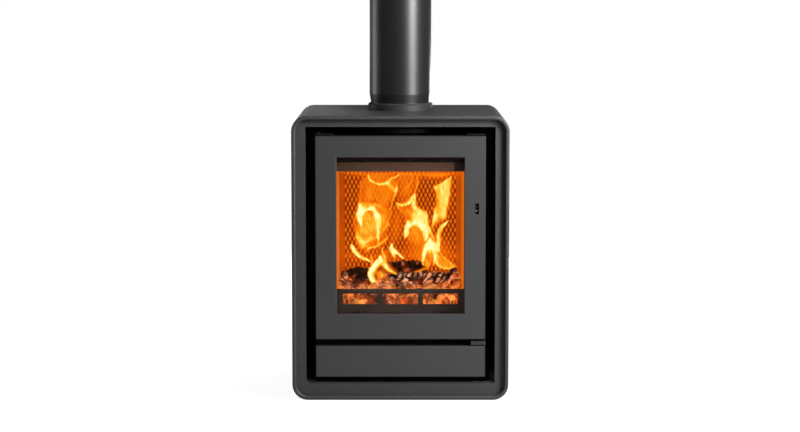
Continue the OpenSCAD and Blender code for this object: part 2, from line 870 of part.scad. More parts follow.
// Ash pan with a flange round its mouth
module ash_pan() {
  mid = pan_y + pan_l / 2;
  r = 8;
  color(steel_black)
  translate([0, mid, pan_z]) difference() {
    union() {
      linear_extrude(pan_h) rounded_rect(pan_w, pan_l, r);
      translate([0, 0, pan_h - pan_wall]) linear_extrude(pan_wall)
        rounded_rect(pan_w + 2 * pan_flange, pan_l, r);
    }
    translate([0, 0, pan_wall]) linear_extrude(pan_h)
      rounded_rect(pan_w - 2 * pan_wall, pan_l - 2 * pan_wall, r - pan_wall);
    translate([0, -mid, -pan_z]) bracket_screws() screw_hole(screw_d, 4);
  }
}

// Lower cover: a bevelled plate with a shallow return all round
module lower_cover() {
  t = 3;
  depth = door_t - 6;
  color(steel_dark)
  translate([0, door_y, cover_z]) difference() {
    union() {
      bevelled_plate(door_w, cover_h, door_plate_t, edge_bevel);
      box([-door_w / 2, door_plate_t - 0.01, 0], [door_w / 2, depth, cover_h]);
    }
    box([-door_w / 2 + t, door_plate_t, t], [door_w / 2 - t, depth + 1, cover_h - t]);
    translate([0, -door_y, -cover_z]) bracket_screws() screw_hole(screw_d, 4);
  }
}

// Stepped brackets that carry the lower cover on the ash pan
module cover_brackets() {
  t = bracket_t;
  w = bracket_w;
  front = door_y + door_plate_t;
  color(steel_black)
  difference() {
    for (s = [-1, 1])
      bar_x(s * bracket_x - w / 2, s * bracket_x + w / 2) polygon([
        [front, bracket_z], [pan_y, bracket_z], [pan_y, bracket_z + bracket_h],
        [pan_y - t, bracket_z + bracket_h], [pan_y - t, bracket_z + t], [front + t, bracket_z + t],
        [front + t, bracket_z + bracket_h + 2], [front, bracket_z + bracket_h + 2]
      ]);
    bracket_screws() screw_hole(screw_d, 4);
  }
}

// Sets something at each bracket's screws: forwards into the cover and backwards into the pan
module bracket_screws() {
  for (s = [-1, 1]) {
    translate([s * bracket_x, door_y + door_plate_t + bracket_t, bracket_z + bracket_h - 7])
      rotate([0, 0, 180]) children();
    translate([s * bracket_x, pan_y - bracket_t, bracket_z + bracket_h - 8]) children();
  }
}

// Screws through the brackets' upright feet
module cover_screws() {
  color(zinc) bracket_screws() pan_screw(screw_d, 4);
}

// Sliding valve plate with its own slots and the tab for the knob
module air_valve_plate() {
  color(zinc)
  union() {
    difference() {
      box([valve_left, valve_y, valve_z], [valve_right, valve_y + valve_t, valve_z + valve_h]);
      slab(valve_y - 1, valve_t + 2)
        for (i = [0:air_slots - 1])
          translate([air_slot_x(i) + (air_slot_pitch - air_slot_w) / 2, slot_z])
            square([air_slot_w, slot_h]);
    }
    box([valve_right - tab_w, knob_y + knob_t, slot_z + 1],
      [valve_right, valve_y + 1, slot_z + slot_h - 1]);
  }
}

// Knob in the gap between the lower cover and the door
module air_knob() {
  left = valve_right - tab_w - 3;
  color(steel_dark)
  difference() {
    translate([left + knob_w / 2, knob_y + knob_t / 2, knob_z]) linear_extrude(knob_h)
      rounded_rect(knob_w, knob_t, 2.5);
    for (i = [0:4])
      translate([left + knob_w / 2 - 8 + 4 * i, knob_y - 0.01, knob_z - 1])
        cylinder(r = 0.8, h = knob_h + 2, $fn = 16);
  }
}

// Two rails that hold the valve plate against the front frame
module air_valve_guides() {
  lip_y = valve_y + valve_t + slide_gap;
  lip_t = 2;
  low = valve_z - slide_gap;
  high = valve_z + valve_h + slide_gap;
  color(steel_black)
  bar_x(-(inner_half - 4), inner_half - 6) {
    polygon([[body_y, low], [lip_y, low], [lip_y, low + 2.5], [lip_y + lip_t, low + 2.5],
      [lip_y + lip_t, low - 4], [body_y, low - 4]]);
    polygon([[body_y, high], [lip_y, high], [lip_y, high - 2.5], [lip_y + lip_t, high - 2.5],
      [lip_y + lip_t, high + 4], [body_y, high + 4]]);
  }
}

// Gasket between the body's roof and the collar
module flue_gasket() {
  color("gainsboro")
  translate([0, flue_y, body_top]) difference() {
    cylinder(r = collar_flange_r - 3, h = gasket_h);
    translate([0, 0, -1]) cylinder(r = collar_in_r, h = gasket_h + 2);
  }
}

// Cast collar: flange, an inner ledge that stops the pipe, and the socket
module flue_collar() {
  base = body_top + gasket_h;
  ledge = pipe_low - slide_gap;
  color(iron)
  translate([0, flue_y, 0]) difference() {
    rotate_extrude() polygon([
      [male_r - 3, base], [collar_flange_r, base], [collar_flange_r, base + collar_flange_t],
      [collar_out_r + 3, base + collar_flange_t], [collar_out_r, base + collar_flange_t + 3],
      [collar_out_r, collar_top - 1], [collar_out_r - 1, collar_top], [collar_in_r, collar_top],
      [collar_in_r, ledge], [male_r - 3, ledge]
    ]);
    for (a = [45:90:315])
      rotate(a) translate([collar_out_r + 9, 0, base - 1]) cylinder(d = 6.6, h = collar_flange_t + 2);
  }
}

module collar_bolts() {
  base = body_top + gasket_h + collar_flange_t;
  color(zinc)
  translate([0, flue_y, base])
    for (a = [45:90:315])
      rotate(a) translate([collar_out_r + 9, 0, 0]) mirror([0, 0, 1]) hex_bolt(6.4, collar_flange_t);
}

// Packing between the pipe and the collar, with a bead on top
module flue_joint_seal() {
  color(steel_black)
  translate([0, flue_y, 0]) rotate_extrude() {
    translate([male_r + 0.1, pipe_low + 3])
      square([collar_in_r - male_r - 0.2, collar_top - pipe_low - 3]);
    difference() {
      translate([male_r + 2.1, collar_top]) circle(2, $fn = 32);
      translate([male_r, collar_top - 5]) square([6, 5]);
    }
  }
}

// Flue pipe: reduced lower end, short cone and straight run
module flue_pipe() {
  shoulder = collar_top + 3;
  cone_top = shoulder + 18;
  color(steel_dark)
  translate([0, flue_y, 0]) rotate_extrude() polygon([
    [male_r - flue_wall, pipe_low], [male_r, pipe_low], [male_r, shoulder], [flue_r, cone_top],
    [flue_r, pipe_top], [flue_r - flue_wall, pipe_top], [flue_r - flue_wall, cone_top],
    [male_r - flue_wall, shoulder]
  ]);
}

// Ring that follows the door's outline, from inset a to inset b
module door_ring(a, b, y, t) {
  slab(y, t) translate([0, (door_z + door_top) / 2]) difference() {
    square([door_w - 2 * a, door_h - 2 * a], center = true);
    square([door_w - 2 * b, door_h - 2 * b], center = true);
  }
}

// Door: bevelled plate, a double rear wall with the rope's groove, and the hinge blocks
module door_frame() {
  plate_back = door_y + door_plate_t;
  inner = groove_wall + groove_w;
  bore = hinge_pin_d + 2 * pin_gap;
  color(steel_dark)
  difference() {
    union() {
      translate([0, door_y, door_z]) bevelled_plate(door_w, door_h, door_plate_t, edge_bevel);
      door_ring(0, groove_wall, plate_back - 0.01, door_back - plate_back);
      door_ring(inner, inner + groove_wall, plate_back - 0.01, door_back - plate_back);
      door_ring(1, inner + 1, groove_floor - web_t, web_t);
      for (z = [door_z, door_top - hinge_block_h])
        box([-door_w / 2, plate_back - 0.01, z],
          [-door_w / 2 + hinge_block_w, groove_floor - 0.5, z + hinge_block_h]);
    }
    translate([0, door_y, window_z]) bevelled_cut(window_w, window_h, door_plate_t, edge_bevel);
    translate([latch_x, door_y, latch_z - latch_slot_h / 2])
      bevelled_cut(latch_slot_w, latch_slot_h, door_plate_t, 0.5);
    clip_screws() screw_hole(screw_d, clip_screw_l());
    translate([hinge_x, hinge_y, door_z - 1]) cylinder(d = bore, h = 18);
    translate([hinge_x, hinge_y, door_top - 17]) cylinder(d = bore, h = 18);
  }
}

module door_glass() {
  color([0.5, 0.5, 0.5, 0.35])
  slab(glass_y, glass_t) translate([0, window_z + window_h / 2])
    rounded_rect(window_w + 2 * glass_lap, window_h + 2 * glass_lap, 3);
}

// Flat gasket between the glass and the door's plate
module glass_gasket() {
  color("gainsboro")
  slab(glass_y - gasket_t, gasket_t) translate([0, window_z + window_h / 2]) difference() {
    rounded_rect(window_w + 2 * glass_lap, window_h + 2 * glass_lap, 3);
    square([window_w + 2, window_h + 2], center = true);
  }
}

// Places of the glass clips: across, up, and the turn that points each at the glass
function clip_places() = concat(
  [for (s = [-1, 1], z = [0.18, 0.82])
    [s * (window_w / 2 + glass_lap), window_z + z * window_h, s > 0 ? 0 : 180]],
  [for (s = [-1, 1]) [s * window_w / 4, window_top + glass_lap, 90]],
  [for (s = [-1, 1]) [s * window_w / 4, window_z - glass_lap, 270]]
);

// Stepped clips that hold the glass from behind
module glass_clips() {
  t = 2;
  back = glass_y + glass_t;
  color(steel_black)
  difference() {
    for (p = clip_places())
      translate([p.x, 0, p.y]) rotate([0, -p.z, 0]) {
        box([0.5, door_y + door_plate_t, -8], [9, back, 8]);
        box([-5, back, -8], [9, back + t, 8]);
      }
    clip_screws() screw_hole(screw_d, clip_screw_l());
  }
}

// Sets something at each clip's screw, pointing forwards into the door's plate
module clip_screws() {
  for (p = clip_places())
    translate([p.x, glass_y + glass_t + 2, p.y]) rotate([0, -p.z, 0])
      translate([5, 0, 0]) rotate([0, 0, 180]) children();
}

// Length of a clip's screw: through the clip and into the door's plate
function clip_screw_l() = 2 + glass_t + gasket_t + screw_bite;

module glass_clip_screws() {
  color(zinc) clip_screws() pan_screw(screw_d, clip_screw_l());
}

// Rope seal in the groove of the door
module door_rope_seal() {
  color("gray")
  translate([0, rope_y, (door_z + door_top) / 2])
    swept_frame(door_w - 2 * rope_inset + rope_d, door_h - 2 * rope_inset + rope_d, rope_d + 0.5)
      translate([rope_d / 2, 0]) circle(d = rope_d, $fn = 32);
}

module hinge_pin_top() {
  lug_z = door_top + lug_gap;
  color(zinc)
  translate([hinge_x, hinge_y, door_top - 15]) {
    cylinder(d = hinge_pin_d, h = lug_z + lug_t - door_top + 15);
    translate([0, 0, lug_z + lug_t - door_top + 15]) cylinder(d = hinge_pin_d + 4, h = 3);
  }
}

module hinge_pin_bottom() {
  lug_z = door_z - low_lug_gap - low_lug_t;
  color(zinc)
  translate([hinge_x, hinge_y, lug_z]) {
    cylinder(d = hinge_pin_d, h = 15 + low_lug_gap + low_lug_t);
    translate([0, 0, -3]) cylinder(d = hinge_pin_d + 4, h = 3);
  }
}

// Channel behind the door's plate in which the catch slides
module latch_guide() {
  back = door_y + door_plate_t;
  color(steel_black)
  difference() {
    box([latch_x - 8, back, latch_z - 26],
      [latch_x + catch_half + slide_gap + 1, back + 6.5, latch_z + 26]);
    box([latch_x - catch_half - slide_gap, back - 1, latch_z - 27],
      [latch_x + catch_half + slide_gap, back + 4, latch_z + 27]);
    box([latch_x - 3, back - 1, latch_z - 27], [latch_x + 3, back + 7, latch_z + 2]);
  }
}

// Catch: a plate with a lug and a ramp in the slot, and a hook that reaches under the keeper's pin
module latch_catch() {
  back = door_y + door_plate_t;
  plate_y = back + slide_gap;
  hook_z = latch_z - 18;
  color(zinc)
  union() {
    box([latch_x - catch_half, plate_y, latch_z - 19], [latch_x + catch_half, plate_y + 3, latch_z + 17]);
    box([latch_x - 2.5, plate_y - 3, latch_z + 1.5], [latch_x + 2.5, plate_y + 0.01, latch_z + 6.5]);
    bar_x(latch_x - 2.5, latch_x + 2.5) polygon([
      [plate_y + 0.01, latch_z - 4.5], [plate_y + 0.01, latch_z + 0.5], [plate_y - 3, latch_z - 4.5]
    ]);
    bar_x(latch_x - 2, latch_x + 2) polygon([
      [plate_y + 2.9, hook_z], [keeper_y() + 6, hook_z], [keeper_y() + 6, hook_z + 7.5],
      [keeper_y() + 4.5, hook_z + 7.5], [keeper_y() + 3, hook_z + 6], [plate_y + 2.9, hook_z + 6]
    ]);
  }
}

// Depth of the keeper's pin
function keeper_y() = frame_y - 11.5;

// Height of the keeper's pin, just above the hook
function keeper_z() = latch_z - 18 + 7.5 + 1 + 2.5;

// Keeper on the front frame: a base and two cheeks
module latch_keeper() {
  t = 2;
  half = 6.5;
  color(steel_black)
  difference() {
    union() {
      box([latch_x - half - t, frame_y - 2.5, keeper_z() - 5], [latch_x + half, frame_y, keeper_z() + 24]);
      for (x = [latch_x - half - t, latch_x + half - t - 2])
        box([x, keeper_y() - 4, keeper_z() - 5], [x + t, frame_y, keeper_z() + 5]);
    }
    translate([latch_x - half - t - 1, keeper_y(), keeper_z()]) rotate([0, 90, 0])
      cylinder(d = 5 + 2 * pin_gap, h = 2 * half + 2 * t + 2);
    keeper_screw_place() screw_hole(screw_d, 2.5 + screw_bite);
  }
}

// Sets something at the keeper's screw, pointing backwards into the front frame
module keeper_screw_place() {
  translate([latch_x - 1, frame_y - 2.5, keeper_z() + 16]) children();
}

module keeper_pin() {
  color(zinc)
  translate([latch_x - 8.5, keeper_y(), keeper_z()]) rotate([0, 90, 0])
    cylinder(d = 5, h = 13);
}

module keeper_screw() {
  color(zinc) keeper_screw_place() pan_screw(screw_d, 2.5 + screw_bite);
}

// Outline of a log: a wavy ring of points
function log_outline(r) = [
  for (a = [0:20:340]) (r * (1 + 0.06 * sin(3 * a + 40) + 0.04 * sin(5 * a))) * [cos(a), sin(a)]
];

// One log from its middle, its length and its turn; grow makes the hollow that it beds in
module log_at(mid, r, l, turn, tilt, grow) {
  translate(mid) rotate([0, tilt, turn]) rotate([0, 90, 0])
    translate([0, 0, -l / 2 - grow]) linear_extrude(l + 2 * grow) polygon(log_outline(r + grow));
}

module log_back_shape(grow) {
  log_at([-0.02 * fire_half, back_brick_y - 0.7 * bed_h, bed_z + bed_h + 14],
    log_r, 0.9 * fire_half, 4, -2, grow);
}

module log_front_shape(grow) {
  log_at([0.34 * fire_half, lining_front_y + 44, bed_z + bed_h + 6],
    log_r, 1.08 * fire_half, 6, 2, grow);
}

module log_left_shape(grow) {
  log_at([-0.65 * fire_half, lining_front_y + 74, bed_z + bed_h + 10],
    log_r + 1, 0.5 * fire_half, -24, 9, grow);
}

// Glowing bed: a mound with tumbled lumps, hollowed where the logs lie
module ember_bed() {
  half = fire_half - 3;
  y0 = lining_front_y + 3;
  y1 = back_brick_y - diamond_relief - 2;
  lumps = 14;
  reach = half - 19;
  color([0.9, 0.4, 0.15])
  difference() {
    union() {
      bar_x(-half, half) polygon([
        [y0, bed_z], [y1, bed_z], [y1, bed_z + 0.9 * bed_h], [y1 - bed_h, bed_z + bed_h],
        [y0 + 50, bed_z + bed_h - 8], [y0 + 10, bed_z + 0.8 * bed_h], [y0, bed_z + bed_h - 22]
      ]);
      for (i = [0:lumps - 1])
        translate([-reach + 2 * reach * i / (lumps - 1), y0 + 22 + 14 * (i % 3), bed_z + bed_h - 18])
          rotate([17 * i, 23 * i, 31 * i]) cube([lump, 5 / 6 * lump, 3 / 4 * lump], center = true);
    }
    log_back_shape(0.4);
    log_front_shape(0.4);
    log_left_shape(0.4);
  }
}

module log_back() {
  color([0.2, 0.12, 0.08]) log_back_shape(0);
}

module log_front() {
  color([0.35, 0.3, 0.27]) log_front_shape(0);
}

module log_left() {
  color([0.2, 0.12, 0.08]) log_left_shape(0);
}

outer_casing();
front_bezel();
bezel_clips();
rear_panel();
rear_panel_screws();
support_rail_left();
support_rail_right();
rail_bolts();
body_shell();
front_frame();
back_brick();
side_brick_left();
side_brick_right();
baffle_plate();
airwash_deflector();
log_retainer();
retainer_lugs();
grate_frame();
grate_bar_1();
grate_bar_2();
grate_bar_3();
grate_bar_4();
grate_bar_5();
riddling_link();
riddling_lever();
link_guides();
ash_runner_left();
ash_runner_right();
ash_pan();
lower_cover();
cover_brackets();
cover_screws();
air_valve_plate();
air_knob();
air_valve_guides();
flue_gasket();
flue_collar();
collar_bolts();
flue_joint_seal();
flue_pipe();
door_frame();
door_glass();
glass_gasket();
glass_clips();
glass_clip_screws();
door_rope_seal();
hinge_pin_top();
hinge_pin_bottom();
latch_guide();
latch_catch();
latch_keeper();
keeper_pin();
keeper_screw();
ember_bed();
log_back();
log_front();
log_left();
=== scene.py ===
"""Looks of a compact multi-fuel stove with a burning fire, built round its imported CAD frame."""

import json
import math
import random

import bmesh
import bpy
from mathutils import Euler, Matrix, Vector, noise


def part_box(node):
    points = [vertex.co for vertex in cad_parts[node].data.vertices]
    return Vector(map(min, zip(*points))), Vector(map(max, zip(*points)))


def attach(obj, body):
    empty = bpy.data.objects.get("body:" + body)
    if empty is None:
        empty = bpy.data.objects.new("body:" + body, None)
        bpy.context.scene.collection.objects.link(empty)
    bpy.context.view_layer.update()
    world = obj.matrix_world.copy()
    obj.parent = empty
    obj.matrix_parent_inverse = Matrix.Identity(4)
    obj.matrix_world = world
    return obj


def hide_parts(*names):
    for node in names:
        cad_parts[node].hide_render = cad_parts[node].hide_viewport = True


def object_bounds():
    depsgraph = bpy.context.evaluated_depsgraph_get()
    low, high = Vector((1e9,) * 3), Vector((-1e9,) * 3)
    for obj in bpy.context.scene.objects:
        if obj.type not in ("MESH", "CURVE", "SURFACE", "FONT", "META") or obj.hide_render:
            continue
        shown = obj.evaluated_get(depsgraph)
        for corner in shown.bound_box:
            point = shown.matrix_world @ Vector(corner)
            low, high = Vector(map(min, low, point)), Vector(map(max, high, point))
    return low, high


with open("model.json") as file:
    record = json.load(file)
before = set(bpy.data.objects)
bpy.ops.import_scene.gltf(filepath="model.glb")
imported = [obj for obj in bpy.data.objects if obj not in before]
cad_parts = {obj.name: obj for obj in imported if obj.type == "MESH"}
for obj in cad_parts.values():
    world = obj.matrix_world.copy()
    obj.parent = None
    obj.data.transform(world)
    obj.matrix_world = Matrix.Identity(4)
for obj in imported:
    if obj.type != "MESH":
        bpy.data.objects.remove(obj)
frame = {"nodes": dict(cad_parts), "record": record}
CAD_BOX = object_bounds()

bl_info = {
    "name": "Multi-fuel stove looks",
    "version": (1, 0, 0),
    "blender": (4, 5, 0),
    "location": "View3D > Sidebar > Stove",
    "description": "Paint, firebricks, embers, logs and flames of a compact stove",
    "category": "Object",
}

MM = 0.001
# The deflector's lip, where painted firelight falls: its top, the end of the lit band, beyond which lies
# painted shade, and how far below its top the painted grey highlight of its lower rim begins
LIP_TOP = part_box("airwash_deflector")[0].z + 0.019
LIP_LIT_END = 0.1115
LIP_PAINTED_RIM = 0.0172
# How deep in the door the catch's lug carries its painted highlight, and up to which height
LUG_DEPTH = 0.0058
LUG_TOP = 0.3865


# Shader maths


class Value:
    """A socket of a node tree, so that sums are written as Python."""

    def __init__(self, nodes, socket):
        self.nodes, self.socket = nodes, socket

    def _maths(self, operation, *values, clamp=False):
        return self.nodes.node(
            "ShaderNodeMath",
            {"operation": operation, "use_clamp": clamp},
            dict(enumerate(values)),
        )

    def __add__(self, other):
        return self._maths("ADD", self, other)

    def __radd__(self, other):
        return self._maths("ADD", other, self)

    def __sub__(self, other):
        return self._maths("SUBTRACT", self, other)

    def __rsub__(self, other):
        return self._maths("SUBTRACT", other, self)

    def __mul__(self, other):
        return self._maths("MULTIPLY", self, other)

    def __rmul__(self, other):
        return self._maths("MULTIPLY", other, self)

    def __abs__(self):
        return self._maths("ABSOLUTE", self)

    def sine(self):
        return self._maths("SINE", self)

    def most(self, other):
        return self._maths("MAXIMUM", self, other)

    def clamped(self):
        return self._maths("ADD", self, 0.0, clamp=True)

    def step(self, low, high):
        """0 below low, 1 above high, and smooth between them."""
        return self.nodes.node(
            "ShaderNodeMapRange",
            {"interpolation_type": "SMOOTHSTEP"},
            {"Value": self, "From Min": low, "From Max": high},
        )


class Nodes:
    """A node tree, and short ways to add to it."""

    def __init__(self, tree):
        self.tree = tree

    def node(self, kind, settings=None, sockets=None, output=0):
        made = self.tree.nodes.new(kind)
        for key, value in (settings or {}).items():
            setattr(made, key, value)
        for key, value in (sockets or {}).items():
            self.feed(made.inputs[key], value)
        return Value(self, made.outputs[output])

    def feed(self, socket, value):
        if isinstance(value, Value):
            self.tree.links.new(value.socket, socket)
        else:
            socket.default_value = value

    def point(self, scale=(1, 1, 1)):
        """Object coordinates in metres, stretched by scale."""
        place = self.node("ShaderNodeTexCoord", output="Object")
        return self.node("ShaderNodeMapping", None, {"Vector": place, "Scale": scale})

    def axes(self, vector):
        split = self.tree.nodes.new("ShaderNodeSeparateXYZ")
        self.feed(split.inputs[0], vector)
        return [Value(self, o) for o in split.outputs]

    def noise(self, vector, scale, detail=2.0, rough=0.5, distortion=0.0):
        return self.node(
            "ShaderNodeTexNoise",
            None,
            {
                "Vector": vector,
                "Scale": scale,
                "Detail": detail,
                "Roughness": rough,
                "Distortion": distortion,
            },
            output="Fac",
        )

    def cells(self, vector, scale, output="Distance"):
        return self.node("ShaderNodeTexVoronoi", None, {"Vector": vector, "Scale": scale}, output=output)

    def mix(self, share, a, b):
        made = self.tree.nodes.new("ShaderNodeMix")
        made.data_type = "RGBA"
        for index, value in ((0, share), (6, a), (7, b)):
            plain = isinstance(value, (Value, float))
            self.feed(made.inputs[index], value if plain else (*value[:3], 1.0))
        return Value(self, made.outputs[2])

    def ramp(self, share, stops):
        made = self.tree.nodes.new("ShaderNodeValToRGB")
        points = made.color_ramp.elements
        while len(points) < len(stops):
            points.new(0.5)
        for point, (place, shade) in zip(points, stops):
            point.position = place
            point.color = (*shade, 1.0)
        self.feed(made.inputs[0], share)
        return Value(self, made.outputs[0])

    def chart(self, name):
        """The two values that a UV map carries."""
        return self.axes(self.node("ShaderNodeUVMap", {"uv_map": name}, output="UV"))[:2]

    def bump(self, height, strength, distance):
        return self.node(
            "ShaderNodeBump",
            None,
            {"Height": height, "Strength": strength, "Distance": distance},
            output="Normal",
        )


class Finish(Nodes):
    """A material made of nodes."""

    def __init__(self, name):
        self.material = bpy.data.materials.new(name)
        self.material.use_nodes = True
        super().__init__(self.material.node_tree)
        self.tree.nodes.clear()

    def surface(self, **sockets):
        """Ends the tree in a Principled shader; names use _ for spaces."""
        shader = self.tree.nodes.new("ShaderNodeBsdfPrincipled")
        for key, value in sockets.items():
            if isinstance(value, tuple):
                value = (*value, 1.0)
            self.feed(shader.inputs[key.replace("_", " ")], value)
        end = self.tree.nodes.new("ShaderNodeOutputMaterial")
        self.tree.links.new(shader.outputs[0], end.inputs["Surface"])
        return self.material


# Settings


def colour(name, description, default):
    return bpy.props.FloatVectorProperty(
        name=name, description=description, default=default, subtype="COLOR", size=3, min=0.0, max=1.0
    )


def factor(name, description, default):
    return bpy.props.FloatProperty(
        name=name, description=description, default=default, subtype="FACTOR", min=0.0, max=1.0
    )


class StovePaint(bpy.types.PropertyGroup):
    """Colours and gloss of the painted and bare metal"""

    casing: colour("Casing", "Textured paint of the casing and bezel", (0.024, 0.024, 0.025))
    door: colour("Door", "Fine paint of the door and the lower cover", (0.022, 0.022, 0.023))
    flue: colour("Flue", "Satin paint of the pipe and the collar", (0.007, 0.007, 0.0075))
    casing_roughness: factor("Casing roughness", "Roughness of the casing's paint", 0.5)
    door_roughness: factor("Door roughness", "Roughness of the door's paint", 0.4)
    flue_roughness: factor("Flue roughness", "Roughness of the pipe's paint", 0.33)


class StoveFire(bpy.types.PropertyGroup):
    """The fire, its embers, and the firelight painted on the firebricks as their glow"""

    # The firebricks' glow is painted firelight.
    glow_low: colour("Brick glow, low", "Darkest glow of the firebricks", (0.26, 0.02, 0.0005))
    glow_high: colour("Brick glow, high", "Brightest glow of the firebricks", (0.88, 0.135, 0.002))
    brick_glow: bpy.props.FloatProperty(
        name="Brick glow", description="Strength of the firebricks' glow", default=0.8, min=0.0, max=4.0
    )
    flame_glow: bpy.props.FloatProperty(
        name="Flame glow", description="Strength of the flames", default=1.15, min=0.0, max=6.0
    )
    ember_glow: bpy.props.FloatProperty(
        name="Ember glow", description="Strength of the embers' glow", default=1.3, min=0.0, max=6.0
    )
    lumps: bpy.props.IntProperty(
        name="Lumps", description="Number of lumps of charcoal", default=96, min=30, max=200
    )
    seed: bpy.props.IntProperty(name="Seed", description="Start of the random draws", default=7, min=1)


class StoveStage(bpy.types.PropertyGroup):
    """Camera, floor and light"""

    distance: bpy.props.FloatProperty(
        name="Distance", description="From the rim to the camera", default=4.0, min=0.5, unit="LENGTH"
    )
    height: bpy.props.FloatProperty(
        name="Height", description="Height of the camera", default=0.846, min=0.0, unit="LENGTH"
    )
    pitch: bpy.props.FloatProperty(
        name="Pitch",
        description="How far the camera looks down",
        default=math.radians(5.76),
        subtype="ANGLE",
    )
    lens: bpy.props.FloatProperty(
        name="Lens", description="Focal length in millimetres", default=89.8, min=10.0
    )
    shift: bpy.props.FloatProperty(name="Shift", description="Vertical shift of the lens", default=-0.04)
    gloss: factor("Gloss", "How brightly metal and glass reflect the backdrop", 0.1)
    light: bpy.props.FloatProperty(
        name="Light", description="Level of all the lamps", default=1.0, min=0.0
    )


def settings(kind):
    return getattr(bpy.context.scene, kind)


# Finishes


def scaled(shade, by):
    """A colour made darker or lighter."""
    return tuple(min(1.0, c * by) for c in shade)


def textured_paint(name, base, roughness, shine, grain, contrast):
    """Matt stove paint: fine grain, faint mottling and lighter high spots."""
    f = Finish(name)
    place = f.point()
    fine = f.noise(place, grain, 4.0, 0.7)
    broad = f.noise(place, 9.0, 2.0)
    speck = f.noise(place, grain * 2.3, 1.0).step(0.58, 0.72)
    dark, light = scaled(base, 1.0 - contrast), scaled(base, 1.0 + contrast)
    tone = f.mix((fine * 1.7 - 0.4 + broad * 0.1).clamped(), dark, light)
    tone = f.mix(speck * contrast, tone, scaled(base, 2.2))
    return f.surface(
        Base_Color=tone,
        Roughness=(roughness - 0.05) + fine * 0.06 + broad * 0.04,
        Specular_IOR_Level=shine,
        Normal=f.bump(fine + speck * 0.4, contrast, 0.0006),
    )


def cast_surface(name, base, roughness, depth=0.0005, painted_firelight=0.0):
    """Sand-cast iron; its last argument is the strength of a brown glow, firelight painted on the iron."""
    f = Finish(name)
    place = f.point()
    coarse = f.noise(place, 260.0, 3.0, 0.65)
    pits = f.cells(place, 420.0).step(0.1, 0.45)
    broad = f.noise(place, 22.0, 2.0)
    return f.surface(
        Base_Color=f.mix(coarse * 0.6 + broad * 0.4, scaled(base, 0.6), scaled(base, 1.5)),
        Specular_IOR_Level=0.3,
        Roughness=(roughness - 0.08) + coarse * 0.16,
        Emission_Color=f.mix(broad, (0.012, 0.006, 0.003), (0.03, 0.015, 0.007)),
        Emission_Strength=painted_firelight,
        Normal=f.bump(coarse * 0.7 + pits * 0.3, 0.6, depth),
    )


def black_steel():
    """Mill plate under matt black heat paint, greyed by fine ash."""
    f = Finish("firebox_steel")
    place = f.point()
    fine = f.noise(place, 700.0, 2.0)
    dust = f.noise(place, 14.0, 4.0, 0.65).step(0.45, 0.8)
    return f.surface(
        Base_Color=f.mix(dust * 0.5, (0.003, 0.003, 0.0033), (0.01, 0.0098, 0.0095)),
        Roughness=0.76 + fine * 0.12,
        Specular_IOR_Level=0.15,
        Normal=f.bump(fine, 0.3, 0.0002),
    )


def deflector_painted_firelight():
    """Deflector plate: rust-brown on its lip, with a painted glow of firelight there and a painted grey
    highlight along the lip's lower rim; painted shade, near black, above the lip and at its right end.
    """
    f = Finish("deflector_steel")
    place = f.point()
    x, y, z = f.axes(place)
    fine = f.noise(place, 500.0, 3.0, 0.6)
    # Mask of the lip's lit band, below its top and left of its lit end; outside it lies painted shade.
    lit_lip = (LIP_TOP - z).step(0.0, 0.0012) * (LIP_LIT_END - x).step(0.0, 0.003)
    # The lip's lower rim, where the painted grey highlight lies.
    rim = (LIP_TOP - LIP_PAINTED_RIM - z).step(0.0, 0.0008)
    # Brown of the painted firelight, lighter towards the right.
    firelight_brown = f.mix((x * 3.4 + 0.5).clamped(), (0.036, 0.013, 0.005), (0.078, 0.034, 0.016))
    # The painted light in the emission: firelight brown on the lip, grey highlight on its rim, near black
    # outside.
    shine = f.mix(lit_lip, (0.002, 0.0006, 0.0003), f.mix(rim, firelight_brown, (0.03, 0.031, 0.034)))
    rust = f.mix(fine, (0.02, 0.011, 0.007), (0.035, 0.02, 0.012))
    return f.surface(
        Base_Color=f.mix(lit_lip, (0.004, 0.003, 0.003), rust),
        Roughness=0.6 + fine * 0.15,
        Specular_IOR_Level=0.2,
        Emission_Color=f.mix(fine * 0.3, shine, (0.004, 0.002, 0.001)),
        Emission_Strength=0.85,
        Normal=f.bump(fine, 0.4, 0.0002),
    )


def catch_with_painted_highlight():
    """Blackened catch with a painted highlight, light grey and half metallic, on the front of its lug."""
    f = Finish("catch_with_painted_highlight")
    x, y, z = f.axes(f.point())
    highlight_front = (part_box("door_frame")[0].y + LUG_DEPTH - y).step(0.0, 0.0008)
    # The painted highlight: the front of the catch, up to the lug's top.
    painted_highlight = highlight_front * (LUG_TOP - z).step(0.0, 0.001)
    return f.surface(
        Base_Color=f.mix(painted_highlight, (0.004, 0.004, 0.004), (0.3, 0.3, 0.3)),
        Metallic=painted_highlight * 0.5,
        Roughness=0.5,
        Specular_IOR_Level=0.2,
    )


def zinc_steel():
    f = Finish("zinc_steel")
    place = f.point()
    grain = f.noise(f.point((900, 900, 120)), 1.0, 2.0)
    spangle = f.cells(place, 260.0, output="Color")
    shade = f.axes(spangle)[0]
    return f.surface(
        Base_Color=f.mix(shade * 0.5 + grain * 0.3, (0.38, 0.4, 0.43), (0.66, 0.67, 0.68)),
        Metallic=1.0,
        Roughness=0.3 + grain * 0.16,
        Normal=f.bump(grain, 0.2, 0.0001),
    )


def rope():
    """Knitted glass-fibre rope: slanting stitches over a grey yarn."""
    f = Finish("rope")
    place = f.point()
    x, y, z = f.axes(place)
    stitch = ((x + z) * 1500.0).sine() * 0.5 + ((x - z) * 1500.0).sine() * 0.5
    fibre = f.noise(place, 2600.0, 2.0)
    return f.surface(
        Base_Color=f.mix(stitch * 0.25 + fibre * 0.6, (0.06, 0.06, 0.06), (0.22, 0.215, 0.21)),
        Roughness=0.92,
        Normal=f.bump(stitch + fibre, 0.8, 0.0006),
    )


